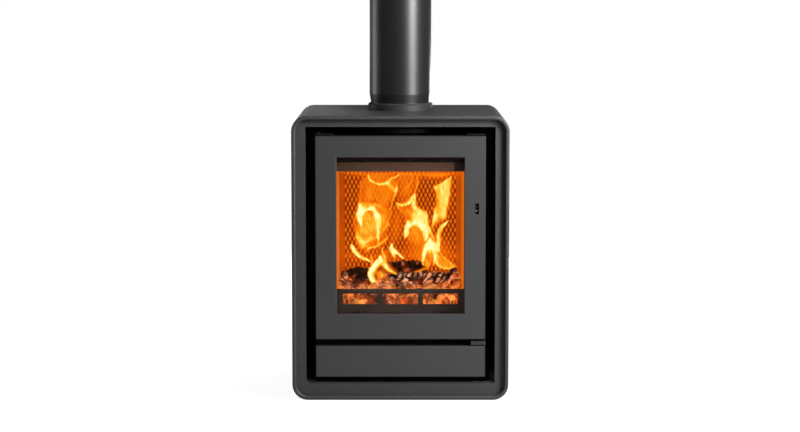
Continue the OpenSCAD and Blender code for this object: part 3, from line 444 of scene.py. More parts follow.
def fire_cement():
    f = Finish("fire_cement")
    place = f.point()
    grit = f.noise(place, 900.0, 4.0, 0.7)
    return f.surface(
        Base_Color=f.mix(grit, (0.008, 0.008, 0.008), (0.035, 0.034, 0.033)),
        Roughness=0.88,
        Normal=f.bump(grit, 0.7, 0.0006),
    )


def stove_glass():
    """Ceramic glass: clear, with a faint amber cast and a film of ash near its edges."""
    f = Finish("ceramic_glass")
    x, y, z = f.axes(f.point())
    centre = 0.5 * sum(c[2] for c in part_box("door_glass"))
    inset = f.noise(f.point((30, 30, 30)), 1.0, 3.0) * 0.012
    sides = (abs(x) + inset).step(0.122, 0.14)
    ends = (abs(z - centre) + inset).step(0.152, 0.17)
    film = sides.most(ends)
    return f.surface(
        Base_Color=f.mix(film * 0.2, (1.0, 0.975, 0.94), (0.82, 0.74, 0.64)),
        Transmission_Weight=1.0,
        Roughness=0.0 + film * 0.06,
        IOR=1.06,
    )


def glowing_brick(name, pattern):
    """Firebrick whose glow is the fire's light painted on: brighter, and a little lighter in colour, on
    what stands proud, with painted shade in the hollows. pattern(finish, x, y, z) is 1 on what stands
    proud.
    """
    fire = settings("stove_fire")
    f = Finish(name)
    place = f.point()
    x, y, z = f.axes(place)
    raised = pattern(f, x, y, z)
    grit = f.noise(place, 700.0, 3.0, 0.6)
    broad = f.noise(place, 11.0, 2.0)
    # Raised parts glow brighter and the hollows darker: painted light and shade.
    level = raised * 0.66 + grit * 0.14 + broad * 0.4 - 0.12
    glow = f.ramp(
        level.clamped(),
        (
            (0.0, scaled(fire.glow_low, 0.6)),
            (0.28, tuple(fire.glow_low)),
            (0.66, tuple(fire.glow_high)),
            (0.95, (1.0, 0.26, 0.008)),
        ),
    )
    return f.surface(
        Base_Color=f.mix(grit * 0.7 + raised * 0.3, (0.02, 0.006, 0.002), (0.06, 0.02, 0.008)),
        Roughness=0.95,
        Specular_IOR_Level=0.1,
        Emission_Color=glow,
        Emission_Strength=fire.brick_glow,
        Normal=f.bump(grit, 0.5, 0.0005),
    )


def wave(value, pitch, crest):
    """Cosine of a place along an axis, 1 at crest and again at each pitch."""
    return ((value - crest) * (math.tau / pitch) + math.pi / 2).sine()


def diamonds(f, x, y, z):
    """1 in the middle of each diamond of the back brick, and 0 in the valleys between them."""
    low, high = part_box("back_brick")
    width, height = 0.009, 0.0188
    middle = (low.z + high.z) / 2
    side, foot, head = 0.1205, 0.168, 0.45
    peaks = (abs(wave(z, height, middle) - wave(x, width, 0.0)) * 0.5).step(0.0, 0.75) * 0.9 + 0.06
    field = (side - abs(x)).step(0.0, 0.002) * (z - foot).step(0.0, 0.005) * (head - z).step(0.0, 0.005)
    return peaks * field + (1.0 - field) * 0.55


def ribs(f, x, y, z):
    """1 on the ribs of the side bricks."""
    low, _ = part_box("side_brick_left")
    return wave(z + y * 0.35, 0.0065, low.z + 0.0095) * 0.42 + 0.86


def baffle_face(f, x, y, z):
    """Faint mottling of the baffle, which has no raised pattern."""
    return f.noise(f.point(), 30.0) * 0.25


def charcoal(name, coal, ash, ashes, glow):
    """Burning charcoal. Its "char" map says how far a point stands out of the cracks, and how hot it is.

    ashes is the share of the faces that ash covers; glow is the strength of the light in the cracks."""
    f = Finish(name)
    place = f.point()
    face, heat = f.chart("char")
    fine = f.noise(place, 520.0, 4.0, 0.65)
    fibre = f.noise(f.point((130, 520, 520)), 1.0, 3.0, 0.6)
    patch = f.noise(place, 62.0, 3.0, 0.6)
    top = (face + (fine - 0.5) * 0.3 + (fibre - 0.5) * 0.25).step(0.2, 0.46)
    ashy = (patch + (fibre - 0.5) * 0.45).step(0.68 - ashes * 0.42, 0.78 - ashes * 0.36)
    hot = (heat + (patch - 0.5) * 1.1).clamped()
    # Painted light and shade: high in patches of noise and a little higher on the blocks' faces; the base
    # colour and the glow are darker where it is low.
    lit = ((f.noise(place, 44.0, 3.0, 0.6) - 0.5) * 3.6 + (face - 0.5) * 0.3 + 0.66).clamped()
    coals = f.mix(fibre, scaled(coal, 0.3), scaled(coal, 3.0))
    tone = f.mix(ashy, coals, f.mix(fibre, scaled(ash, 0.25), ash))
    # Near black in the cracks: painted shade.
    tone = f.mix(top, (0.004, 0.002, 0.0015), tone)
    crack = f.ramp(
        (hot * glow).clamped(),
        (
            (0.0, (0.004, 0.001, 0.0)),
            (0.3, (0.1, 0.009, 0.001)),
            (0.5, (0.8, 0.1, 0.006)),
            (0.75, (1.0, 0.36, 0.05)),
        ),
    )
    # The ash's glow is painted firelight: the ash colour tinted warm.
    painted_firelight = tuple(c * k for c, k in zip(ash, (0.95, 0.4, 0.2)))
    dull = f.mix((fibre * 1.6 - 0.3).clamped(), scaled(painted_firelight, 0.15), painted_firelight)
    # Where ash lies, the skin shows that painted firelight; elsewhere it glows with its heat.
    skin = f.mix(ashy, f.mix(hot, (0.008, 0.002, 0.001), (0.4, 0.05, 0.005)), dull)
    skin = f.mix(hot.step(0.5, 0.8), skin, f.mix(fine, (0.7, 0.08, 0.008), (1.0, 0.3, 0.06)))
    depths = f.mix(0.35 + lit * 0.65, (0.001, 0.0, 0.0), crack)
    glowing = f.mix(top, depths, f.mix(lit, (0.003, 0.001, 0.0), skin))
    return f.surface(
        Base_Color=f.mix(0.25 + lit * 0.75, (0.004, 0.002, 0.0015), tone),
        Roughness=0.86 + fine * 0.12,
        Specular_IOR_Level=0.2,
        Emission_Color=glowing,
        Emission_Strength=settings("stove_fire").ember_glow,
        Normal=f.bump(fibre * 0.6 + fine * 0.4, 0.8, 0.001),
    )


def flame_finish():
    """Flames: orange where they are thin, pale yellow where their "flame" map is hottest."""
    f = Finish("flame")
    heat, _ = f.chart("flame")
    sway = f.noise(f.point((34, 34, 26)), 1.0, 2.0, 0.5, 0.5) - 0.5
    streak = f.noise(f.point((150, 60, 42)), 1.0, 4.0, 0.55, 1.2)
    broad = f.noise(f.point((60, 60, 34)), 1.0, 2.0, 0.5, 0.8)
    hotness = heat * (0.1 + streak * 1.1 + broad * 0.5 + sway * 0.2)
    colours = f.ramp(
        hotness.clamped(),
        (
            (0.0, (0.9, 0.1, 0.001)),
            (0.2, (1.0, 0.17, 0.002)),
            (0.4, (1.0, 0.3, 0.006)),
            (0.58, (1.0, 0.5, 0.035)),
            (0.76, (1.0, 0.75, 0.15)),
            (1.0, (1.0, 0.96, 0.5)),
        ),
    )
    return f.surface(
        Base_Color=(0.0, 0.0, 0.0),
        Roughness=1.0,
        Specular_IOR_Level=0.0,
        Emission_Color=colours,
        Emission_Strength=settings("stove_fire").flame_glow,
        Alpha=(hotness * 1.35 - 0.01).clamped(),
    )


def scene_finishes():
    paint = settings("stove_paint")
    casing = textured_paint("casing_paint", paint.casing, paint.casing_roughness, 0.6, 270.0, 0.5)
    door = textured_paint("door_paint", paint.door, paint.door_roughness, 0.9, 320.0, 0.16)
    return {
        "casing_paint": casing,
        "door_paint": door,
        "knob_paint": textured_paint("knob_paint", (0.022, 0.022, 0.023), 0.4, 0.6, 900.0, 0.1),
        "flue_paint": textured_paint("flue_paint", paint.flue, paint.flue_roughness, 0.6, 900.0, 0.12),
        "cast_iron_paint": cast_surface("cast_iron_paint", (0.02, 0.02, 0.021), 0.5),
        "firebox_steel": black_steel(),
        "firebrick": glowing_brick("firebrick", diamonds),
        # The cast iron glows a little: painted firelight.
        "cast_iron": cast_surface("cast_iron", (0.012, 0.009, 0.007), 0.75, 0.0007, 0.25),
        "zinc_steel": zinc_steel(),
        "rope": rope(),
        "fire_cement": fire_cement(),
        "ceramic_glass": stove_glass(),
    }


# The pieces


def add_object(name, data):
    made = bpy.data.objects.new(name, data)
    bpy.context.scene.collection.objects.link(made)
    return made


def add_mesh(name, bm, finish):
    """Turns a bmesh into an object with one finish."""
    mesh = bpy.data.meshes.new(name)
    bm.to_mesh(mesh)
    bm.free()
    mesh.materials.append(finish)
    return add_object(name, mesh)


def add_piece(name, bm, finish, slot):
    """Turns a finished bmesh into a piece that rides on the stove."""
    bmesh.ops.recalc_face_normals(bm, faces=bm.faces)
    piece = add_mesh(name, bm, finish)
    piece.data.shade_smooth()
    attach(piece, "stove")
    return piece


def add_chart(bm, name, first, second):
    """Copies two layers of the vertices into a UV map, which the finishes can read."""
    chart = bm.loops.layers.uv.new(name)
    for face in bm.faces:
        for loop in face.loops:
            loop[chart].uv = (loop.vert[first], loop.vert[second])


# Depth and height along the middle of the ember bed, from its front to its back
BED_PROFILE = ((-0.1095, 0.197), (-0.1, 0.204), (-0.06, 0.21), (0.004, 0.218), (0.0645, 0.214))
FIREBOX_LOW = Vector((-0.1285, -0.1118, 0.168))
FIREBOX_HIGH = Vector((0.1285, 0.0645, 0.46))


def held(place, low, high):
    """A place, moved into the box from low to high."""
    return Vector([min(max(c, lo), hi) for c, lo, hi in zip(place, low, high)])


def keep_inside(verts):
    """Keeps vertices between the bricks and behind the retainer."""
    for v in verts:
        v.co = held(v.co, FIREBOX_LOW, FIREBOX_HIGH)


def blocks(place, scale, narrow=3.2):
    """How far a place lies from the cracks of broken charcoal: 0 in a crack, 1 on a block's face."""
    near = noise.voronoi(place * scale)[0]
    return min(1.0, max(0.0, (near[1] - near[0]) * narrow))


def bed_height(x, y):
    """Height of the ember mound's surface."""
    rise = BED_PROFILE[-1][1]
    for (y0, z0), (y1, z1) in zip(BED_PROFILE, BED_PROFILE[1:]):
        if y <= y1:
            rise = z0 + (z1 - z0) * max(0.0, (y - y0) / (y1 - y0))
            break
    return rise + 0.004 * noise.fractal(Vector((x, y, 0)) * 55, 1.0, 2.0, 3)


def ember_mound():
    """Closed mound of fine embers under the lumps."""
    low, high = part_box("ember_bed")
    bm = bmesh.new()
    face = bm.verts.layers.float.new("face")
    heat = bm.verts.layers.float.new("heat")
    for v in bmesh.ops.create_grid(bm, x_segments=120, y_segments=84, size=0.5)["verts"]:
        x = low.x + (v.co.x + 0.5) * (high.x - low.x)
        y = low.y + (v.co.y + 0.5) * (high.y - low.y)
        v[face] = blocks(Vector((x, y, 0.3)), 85)
        v[heat] = 0.6 + 0.6 * noise.noise(Vector((x, y, 0)) * 34)
        v.co = (x, y, min(bed_height(x, y) - 0.004 * (1 - v[face]), high.z))
    rim = [e for e in bm.edges if e.is_boundary]
    skirt = bmesh.ops.extrude_edge_only(bm, edges=rim)["geom"]
    for v in (g for g in skirt if isinstance(g, bmesh.types.BMVert)):
        v.co.z = low.z
    bmesh.ops.holes_fill(bm, edges=[e for e in bm.edges if e.is_boundary], sides=0)
    add_chart(bm, "char", face, heat)
    return bm


def add_lump(bm, layers, centre, size, turn, warmth, draw):
    """Broken lump of charcoal: a ball flattened by planes and split by cracks."""
    face, heat = layers
    centre = Vector(centre)
    turned = Euler([math.radians(a) for a in turn]).to_matrix()
    planes = [
        (Vector([draw.gauss(0, 1) for _ in range(3)]).normalized(), draw.uniform(0.55, 0.82))
        for _ in range(8)
    ]
    shift = Vector([draw.uniform(0, 9) for _ in range(3)])
    made = bmesh.ops.create_icosphere(bm, subdivisions=4 if max(size) > 0.0115 else 3, radius=1.0)["verts"]
    for v in made:
        co = v.co.copy()
        for normal, reach in planes:
            over = co.dot(normal) - reach
            if over > 0:
                co -= normal * over * 0.92
        real = Vector([c * s for c, s in zip(co, size)])
        v[face] = blocks(Vector((real.x * 0.5, real.y, real.z)) + shift, 105)
        v[heat] = warmth - 0.3 * co.z + 0.25 * noise.noise(real * 150 + shift)
        ridge = 0.05 * noise.fractal(real * 320 + shift, 1.0, 2.0, 3)
        v.co = centre + turned @ (real * (0.86 + 0.14 * v[face] + ridge))
    keep_inside(made)


def lump_rows(draw, count):
    """Place, size and warmth of each lump: behind the retainer, over its rail, then on the bed."""
    low_row, high_row = 17, 13
    for i in range(low_row):
        x = -0.118 + i * 0.236 / (low_row - 1)
        place = (x, -0.099 + draw.uniform(0, 0.003), 0.195 + draw.uniform(-0.006, 0.009))
        size = (draw.uniform(0.009, 0.014), 0.0115, draw.uniform(0.0085, 0.012))
        yield place, size, draw.uniform(0.0, 0.85)
    for i in range(high_row):
        x = -0.112 + i * 0.224 / (high_row - 1)
        place = (x, -0.092 + draw.uniform(-0.004, 0.006), 0.219 + draw.uniform(-0.005, 0.005))
        size = (draw.uniform(0.012, 0.019), 0.0115, draw.uniform(0.007, 0.0105))
        yield place, size, draw.uniform(0.25, 0.95)
    for _ in range(count - low_row - high_row):
        x, y = draw.uniform(-0.118, 0.118), draw.uniform(-0.078, 0.05)
        size = draw.uniform(0.007, 0.0125)
        place = (x, y, bed_height(x, y) + draw.uniform(0.0, 0.007))
        yield place, (size * 1.3, size, size * 0.9), draw.uniform(0.3, 0.9)


def charcoal_lumps(count, seed):
    draw = random.Random(seed)
    bm = bmesh.new()
    layers = bm.verts.layers.float.new("face"), bm.verts.layers.float.new("heat")
    for centre, size, warmth in lump_rows(draw, count):
        turn = (draw.uniform(-25, 25), draw.uniform(-28, 28), draw.uniform(-30, 30))
        add_lump(bm, layers, centre, size, turn, warmth, draw)
    add_lump(bm, layers, (-0.1165, -0.087, 0.234), (0.0115, 0.013, 0.0195), (5, -8, 10), 0.25, draw)
    add_lump(bm, layers, (0.1155, -0.088, 0.226), (0.0125, 0.0115, 0.0125), (0, 0, 20), 0.5, draw)
    add_lump(bm, layers, (0.114, -0.066, 0.246), (0.013, 0.012, 0.012), (10, 25, -20), 0.2, draw)
    add_chart(bm, "char", *layers)
    return bm


def burnt_log(node, radius, length, turn, tilt, seed, taper, grain, warmth):
    """Log split into charred blocks. taper sharpens its left end; grain is the blocks' number per metre."""
    low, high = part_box(node)
    bm = bmesh.new()
    face = bm.verts.layers.float.new("face")
    heat = bm.verts.layers.float.new("heat")
    bmesh.ops.create_cone(
        bm, cap_ends=True, cap_tris=False, segments=80, radius1=radius, radius2=radius, depth=length
    )
    sides = [e for e in bm.edges if abs(e.verts[0].co.z - e.verts[1].co.z) > length * 0.5]
    bmesh.ops.subdivide_edges(bm, edges=sides, cuts=int(length / 0.0018), use_grid_fill=True)
    caps = [f for f in bm.faces if len(f.verts) > 4]
    for inset in (0.12, 0.16, 0.2, 0.22):
        bmesh.ops.inset_region(bm, faces=caps, thickness=radius * inset, use_even_offset=True)
    shift = Vector((seed * 3.7, seed * 1.3, seed * 2.1))
    for v in bm.verts:
        reach = v.co.xy.length / radius
        along = v.co.z / length
        end = abs(along) > 0.49
        slant = Vector((v.co.x * 0.45, v.co.y * 0.45, v.co.z * 1.15 + v.co.x * 0.6))
        split = blocks(slant + shift, grain, 2.2)
        v[face] = 0.25 + 0.5 * noise.noise(v.co * 140) if end and reach < 0.8 else split
        v[heat] = warmth + 0.5 * noise.noise(v.co * 45 + shift) + 0.35 * v.co.x / radius
        furrow = noise.fractal(Vector((v.co.x * 160, v.co.y * 160, v.co.z * 30)) + shift, 1.0, 2.0, 3)
        knot = noise.noise(Vector((v.co.x * 26, v.co.y * 26, v.co.z * 16)) + shift)
        grow = 1.0 + 0.05 * furrow + 0.1 * knot - 0.2 * (1.0 - split) * min(1.0, reach)
        grow *= 1.0 - taper * max(0.0, -along * 2.0) ** 1.6
        v.co.x *= grow
        v.co.y *= grow
        if end:
            v.co.z *= 0.95 + 0.05 * reach + 0.02 * noise.noise(v.co * 160 + shift)
    for axis, angle in (("Y", 90), ("Y", tilt), ("Z", turn)):
        bmesh.ops.rotate(bm, verts=bm.verts, matrix=Matrix.Rotation(math.radians(angle), 3, axis))
    bmesh.ops.translate(bm, verts=bm.verts, vec=(low + high) / 2)
    keep_inside(bm.verts)
    add_chart(bm, "char", face, heat)
    return bm


# Flames, in millimetres. A sheet has the heat of its inside and of its rim, and an outline of places
# (across, up, softness of the edge there). A path has its heat, and a line of places (across, up, half
# width).
VEILS_SHAPES = (
    ("sheet", (0.34, 0.12), (
        (-66, 442, 2.5), (-81, 429, 3), (-85, 406, 3.5), (-90, 386, 8), (-82, 366, 23), (-52, 351, 30),
        (-23, 361, 10), (-14, 391, 3), (-7, 409, 2.5), (-6, 424, 2.5), (-13, 442, 5)
    )),
    ("sheet", (0.56, 0.15), (
        (-92, 381, 4), (-96, 351, 3.5), (-98, 320, 3.5), (-94, 288, 8), (-72, 275, 10), (-45, 285, 13),
        (-26, 308, 10), (-21, 351, 4), (-24, 367, 5), (-45, 383, 15), (-70, 386, 15)
    )),
    ("sheet", (0.5, 0), (
        (-4, 371, 6), (11, 346, 4), (8, 308, 8), (26, 290, 10), (51, 285, 10), (62, 325, 5), (57, 361, 4),
        (36, 378, 8), (21, 383, 8)
    )),
    ("sheet", (0.42, 0), (
        (-135, 450, 5), (134, 450, 5), (119, 436, 8), (61, 426, 13), (-14, 430, 13), (-90, 432, 10)
    )),
    ("sheet", (0.42, 0), (
        (-24, 361, 13), (-9, 383, 15), (11, 366, 15), (13, 325, 15), (-9, 285, 18), (-29, 285, 15)
    )),
    ("sheet", (0.45, 0), (
        (-9, 444, 10), (44, 441, 13), (44, 419, 13), (31, 383, 15), (-2, 376, 15), (-14, 401, 13)
    )),
    ("sheet", (0.22, 0), ((-107, 285, 10), (117, 285, 10), (117, 250, 10), (-105, 250, 10))),
    ("sheet", (0.3, 0), ((11, 310, 10), (86, 315, 13), (114, 285, 13), (81, 240, 10), (11, 260, 13))),
)
RIGHT_SHAPES = (
    ("sheet", (0.55, 0.18), (
        (107, 443, 1), (105, 422, 1.2), (101, 390, 1.2), (98, 357, 1.5), (95, 348, 2.5), (85, 340, 5.9),
        (74, 335, 5.9), (65, 330, 2), (66, 353, 2), (69, 372, 2), (72, 390, 2.2), (71, 407, 2.2),
        (69, 422, 2), (85, 429, 1.5)
    )),
    ("sheet", (0.6, 0.1), (
        (68, 378, 1.2), (77, 367, 2), (78, 354, 2.5), (70, 340, 1.2), (65, 333, 0.7), (66, 355, 1),
        (68, 367, 1)
    )),
    ("path", 0.3, ((87, 412, 3), (89, 395, 5.4), (89, 375, 6), (90, 360, 4), (95, 353, 1.2))),
    ("path", 0.4, ((106, 440, 1), (103, 414, 2), (99, 387, 2), (97, 357, 1))),
    ("path", 0.6, ((107, 442, 1), (95, 432, 1.7), (85, 427, 1.7), (71, 420, 1))),
    ("path", 0.4, ((75, 417, 2.5), (90, 420, 5.4), (100, 429, 3.5))),
    ("path", 0.45, ((50, 447, 1.2), (63, 444, 3), (81, 445, 3), (100, 447, 1.5))),
)
LEFT_SHAPES = (
    ("sheet", (1.0, 0.1), (
        (-88, 387, 1.5), (-93, 367, 1), (-93, 354, 1), (-88, 342, 1), (-82, 335, 0.7), (-78, 346, 1.2),
        (-75, 357, 1.7), (-67, 366, 2), (-56, 373, 1.7), (-55, 382, 2.2), (-69, 385, 4.5),
        (-80, 388, 4.5)
    )),
    ("sheet", (0.92, 0.1), (
        (-57, 382, 1.7), (-44, 369, 2.2), (-35, 354, 3.5), (-39, 337, 5), (-47, 349, 3), (-54, 360, 1.5),
        (-64, 369, 2), (-69, 374, 2)
    )),
    ("sheet", (1.0, 0.15), (
        (-58, 365, 1), (-42, 361, 2.2), (-38, 342, 3), (-41, 322, 2), (-46, 298, 0.7), (-51, 322, 1),
        (-54, 342, 1)
    )),
    ("sheet", (0.6, 0.15), (
        (-88, 386, 2.5), (-79, 399, 10), (-56, 399, 15), (-31, 389, 12), (-23, 367, 5), (-34, 347, 12),
        (-51, 372, 3.5), (-81, 378, 5)
    )),
    ("sheet", (0.66, 0.15), (
        (-95, 332, 2), (-94, 310, 2.5), (-88, 292, 4), (-74, 285, 7), (-56, 295, 12), (-36, 312, 10),
        (-44, 323, 5), (-64, 321, 5), (-81, 328, 7)
    )),
    ("path", 0.55, (
        (-92, 317, 1), (-83, 307, 2.5), (-71, 306, 3), (-62, 315, 2.2), (-61, 321, 1.7), (-54, 325, 1)
    )),
    ("path", 0.75, (
        (-72, 283, 1), (-64, 293, 1.7), (-51, 295, 2.5), (-39, 302, 2.7), (-30, 310, 2), (-26, 317, 1)
    )),
    ("path", 0.6, ((-44, 321, 1), (-35, 329, 2), (-29, 336, 1.5), (-25, 343, 1))),
    ("path", 0.6, ((-25, 374, 1), (-21, 362, 1.5), (-27, 347, 1.5), (-38, 331, 1))),
    ("path", 1.05, (
        (-66, 446, 1.2), (-63, 437, 1.7), (-54, 429, 2), (-41, 427, 2.2), (-29, 430, 2.2), (-18, 438, 2),
        (-2, 446, 1)
    )),
    ("path", 0.7, ((-29, 430, 2), (-19, 420, 4.5), (-11, 413, 3), (-7, 424, 1.5), (-6, 432, 1))),
    ("path", 0.7, ((-7, 419, 1.5), (-11, 404, 1.5), (-16, 391, 1.2), (-21, 370, 0.7))),
    ("sheet", (0.95, 0), (
        (-105, 302, 0.7), (-97, 299, 1.2), (-90, 288, 1.7), (-80, 276, 1.2), (-62, 264, 0.5),
        (-63, 259, 0.5), (-81, 265, 1), (-97, 276, 0.7), (-103, 287, 0.7)
    )),
    ("path", 0.4, ((-88, 382, 1.5), (-84, 401, 2), (-82, 426, 2), (-76, 439, 1.2))),
    ("path", 0.45, ((-95, 332, 1.2), (-96, 347, 1.7), (-93, 367, 1.5))),
    ("path", 0.4, ((-66, 292, 1.2), (-76, 297, 3), (-83, 292, 2))),
)
MIDDLE_SHAPES = (
    ("sheet", (0.86, 0.1), (
        (29, 409, 1), (35, 398, 1.5), (35, 381, 3.4), (28, 371, 4.9), (20, 379, 3), (23, 390, 2)
    )),
    ("path", 1.1, ((-7, 386, 1.2), (-1, 383, 2.2), (11, 385, 2.7), (21, 392, 3), (28, 404, 1.7))),
    ("sheet", (0.8, 0.15), (
        (25, 398, 2.5), (36, 382, 2), (47, 375, 1.7), (55, 371, 1.5), (57, 354, 1.5), (59, 337, 1.5),
        (63, 312, 3.4), (52, 297, 6), (35, 329, 7), (19, 356, 3.4), (21, 369, 3), (23, 383, 4.4)
    )),
    ("sheet", (1.0, 0.05), (
        (12, 353, 1.7), (8, 337, 1.2), (5, 316, 1), (11, 313, 1.2), (18, 320, 1.7), (22, 332, 2.2),
        (33, 337, 3), (42, 326, 3.4), (49, 302, 4.4), (59, 312, 3.4), (55, 337, 3.4), (48, 349, 4.9),
        (33, 358, 5.9), (20, 356, 3.9)
    )),
    ("path", 0.55, ((15, 339, 2), (23, 346, 3.9), (36, 348, 5.9), (48, 337, 4.9), (54, 322, 3))),
    ("path", 0.5, ((12, 353, 1.2), (9, 363, 1.5), (1, 372, 1.2), (-7, 380, 1))),
    ("path", 0.9, (
        (55, 370, 1), (57, 349, 1.5), (60, 334, 1.7), (67, 319, 2), (74, 305, 1.7), (81, 285, 1.5),
        (93, 271, 1.5), (107, 260, 1.5), (118, 252, 1)
    )),
    ("path", 0.62, ((36, 448, 1), (36, 433, 1.5), (32, 418, 1.2), (29, 408, 1))),
    ("path", 0.5, ((25, 446, 0.7), (23, 433, 1.5), (14, 422, 1.5), (0, 408, 0.7))),
    ("path", 0.4, ((60, 334, 2), (55, 310, 3.4), (48, 290, 3), (46, 275, 1.5))),
)
ROOT_SHAPES = (
    ("sheet", (0.96, 0.1), (
        (63, 318, 1.2), (70, 312, 1.7), (76, 295, 2), (75, 280, 2.5), (69, 261, 1.2), (66, 273, 4.9),
        (62, 282, 5.9), (56, 276, 4.4), (48, 262, 1), (45, 280, 1.2), (49, 297, 1.2), (56, 310, 1.2)
    )),
    ("path", 0.9, ((63, 317, 1.2), (55, 304, 2.7), (49, 290, 2.7), (46, 275, 1.7), (48, 260, 0.7))),
    ("path", 0.6, ((62, 304, 3.4), (63, 287, 2.5), (62, 267, 1))),
    ("path", 0.8, ((71, 304, 2.2), (76, 287, 2.5), (73, 273, 2), (68, 259, 1))),
    ("path", 0.85, ((71, 279, 1.5), (75, 264, 1.7), (84, 255, 1.7), (99, 252, 1.7), (117, 254, 1))),
    ("sheet", (0.42, 0.3), (
        (72, 284, 2), (86, 278, 2), (116, 255, 1), (98, 251, 1.5), (79, 257, 1.5), (72, 270, 2)
    )),
    ("sheet", (0.95, 0.1), (
        (104, 354, 0.5), (98, 341, 1.5), (90, 333, 2), (87, 314, 2.2), (82, 287, 1), (73, 297, 1.5),
        (74, 319, 1.5), (79, 339, 1.5), (91, 348, 1.2)
    )),
    ("sheet", (0.52, 0.12), (
        (49, 274, 2), (60, 275, 2.9), (62, 265, 1.5), (58, 255, 1.2), (51, 253, 2.5), (46, 260, 2.9)
    )),
    ("path", 0.6, ((62, 263, 0.7), (57, 253, 1.5), (45, 248, 1.5), (29, 244, 0.7))),
)
SMALL_SHAPES = (
    ("sheet", (0.85, 0.1), (
        (-18, 301, 0.7), (-13, 290, 1), (-2, 280, 1), (10, 267, 0.5), (0, 268, 0.7), (-9, 275, 1),
        (-10, 269, 1.2), (-7, 257, 0.5), (-15, 267, 0.7), (-21, 279, 0.7), (-24, 290, 0.7)
    )),
    ("path", 0.7, ((-17, 297, 1), (-12, 284, 1.7), (-2, 274, 1.5), (7, 268, 0.7))),
    ("path", 0.4, ((-23, 292, 0.7), (-28, 280, 1.2), (-32, 273, 0.7))),
    ("path", 0.35, ((21, 288, 0.7), (22, 273, 1.5), (26, 267, 0.7))),
)
FRONT_SHAPES = (
    ("sheet", (1.2, 0), (
        (-42, 285, 1), (-53, 271, 1.2), (-65, 257, 1.2), (-69, 245, 1), (-67, 231, 1.2), (-59, 221, 1.2),
        (-48, 217, 1), (-30, 221, 1), (-38, 224, 2.4), (-47, 231, 3.9), (-51, 240, 4.4), (-47, 250, 4.4),
        (-40, 259, 3.9), (-37, 270, 1.9)
    )),
    ("sheet", (0.5, 0.1), (
        (-53, 248, 2.9), (-38, 254, 6), (-30, 249, 4.4), (-28, 240, 3.4), (-38, 231, 3.4),
        (-50, 233, 3.4)
    )),
    ("path", 0.6, ((-44, 248, 2.4), (-39, 242, 2.2), (-41, 237, 1.2))),
    ("path", 0.95, ((-41, 279, 1.9), (-35, 263, 3.4), (-26, 254, 2.7), (-14, 248, 1.9), (-4, 238, 0.7))),
    ("path", 0.8, ((-38, 300, 1), (-35, 287, 1.9), (-32, 272, 2.7), (-27, 256, 2.2))),
    ("path", 0.8, ((-61, 284, 0.7), (-59, 273, 1.7), (-59, 263, 1.5))),
)
# How deep each group stands in the firebox, and its shapes
FLAMES = {
    "veils": (25, VEILS_SHAPES),
    "right": (-25, RIGHT_SHAPES),
    "left": (-20, LEFT_SHAPES),
    "middle": (-35, MIDDLE_SHAPES),
    "root": (-50, ROOT_SHAPES),
    "small": (0, SMALL_SHAPES),
    "front": (-75, FRONT_SHAPES),
}
# The box that the flames keep to
FLAMES_LOW = (-128.0, -111.0, 205.0)
FLAMES_HIGH = (128.0, 63.0, 474.0)
FLAME_STEP = 1.3
HOTTEST = 1.3


def on_curve(points, place):
    """Point of a smooth curve through points; place runs from 0 to 1."""
    place = min(max(place, 0.0), 0.99999) * (len(points) - 1)
    i = int(place)
    t = place - i
    a, b, c, d = (Vector(points[min(max(k, 0), len(points) - 1)]) for k in (i - 1, i, i + 1, i + 2))
    return 0.5 * (2 * b + (c - a) * t + (2 * a - 5 * b + 4 * c - d) * t**2 + (3 * b - a - 3 * c + d) * t**3)


class FlameShape:
    """One sheet or path of flame: a smooth line, the box round it, and the heat it gives a place."""

    def __init__(self, kind, heat, points):
        self.closed = kind == "sheet"
        self.heat, self.rim = heat if self.closed else (heat, 0)
        if self.closed:
            points = points[-1:] + points + points[:2]
        legs = (len(points) - 1) * 4
        line = [on_curve(points, i / legs) for i in range(legs + 1)]
        if self.closed:
            line = line[4:-4]
        self.legs = [(a, b, b - a, max((b - a).xy.length_squared, 1e-9)) for a, b in zip(line, line[1:])]
        reach = 0.0 if self.closed else 6.0 * max(p.z for p in line)
        self.low = Vector((min(p.x for p in line) - reach, min(p.y for p in line) - reach))
        self.high = Vector((max(p.x for p in line) + reach, max(p.y for p in line) + reach))

    def nearest(self, x, z):
        """Distance to the line, and the line's own width or softness there."""
        best = (1e9, 1.0)
        for a, b, leg, squared in self.legs:
            t = min(1.0, max(0.0, ((x - a.x) * leg.x + (z - a.y) * leg.y) / squared))
            gap = math.hypot(x - a.x - leg.x * t, z - a.y - leg.y * t)
            if gap < best[0]:
                best = (gap, max(a.z + leg.z * t, 0.3))
        return best

    def around(self, x, z):
        """Whether a place lies inside the outline."""
        crossed = False
        for a, b, leg, _ in self.legs:
            if (a.y > z) != (b.y > z) and x < a.x + (z - a.y) / leg.y * leg.x:
                crossed = not crossed
        return crossed

    def at(self, x, z):
        if not (self.low.x < x < self.high.x and self.low.y < z < self.high.y):
            return 0.0
        if not self.closed:
            gap, width = self.nearest(x, z)
            gap /= width * 1.25
            return self.heat * (0.62 * math.exp(-gap * gap) + 0.22 * math.exp(-0.16 * gap * gap))
        if not self.around(x, z):
            return 0.0
        gap, softness = self.nearest(x, z)
        share = 1.0 - math.exp(-((gap / softness) ** 1.3) * 0.5)
        rim = self.rim * math.exp(-gap / 3.5) * max(0.0, 1.0 - softness / 6.0)
        return self.heat * share + rim * min(1.0, gap / 2.0)


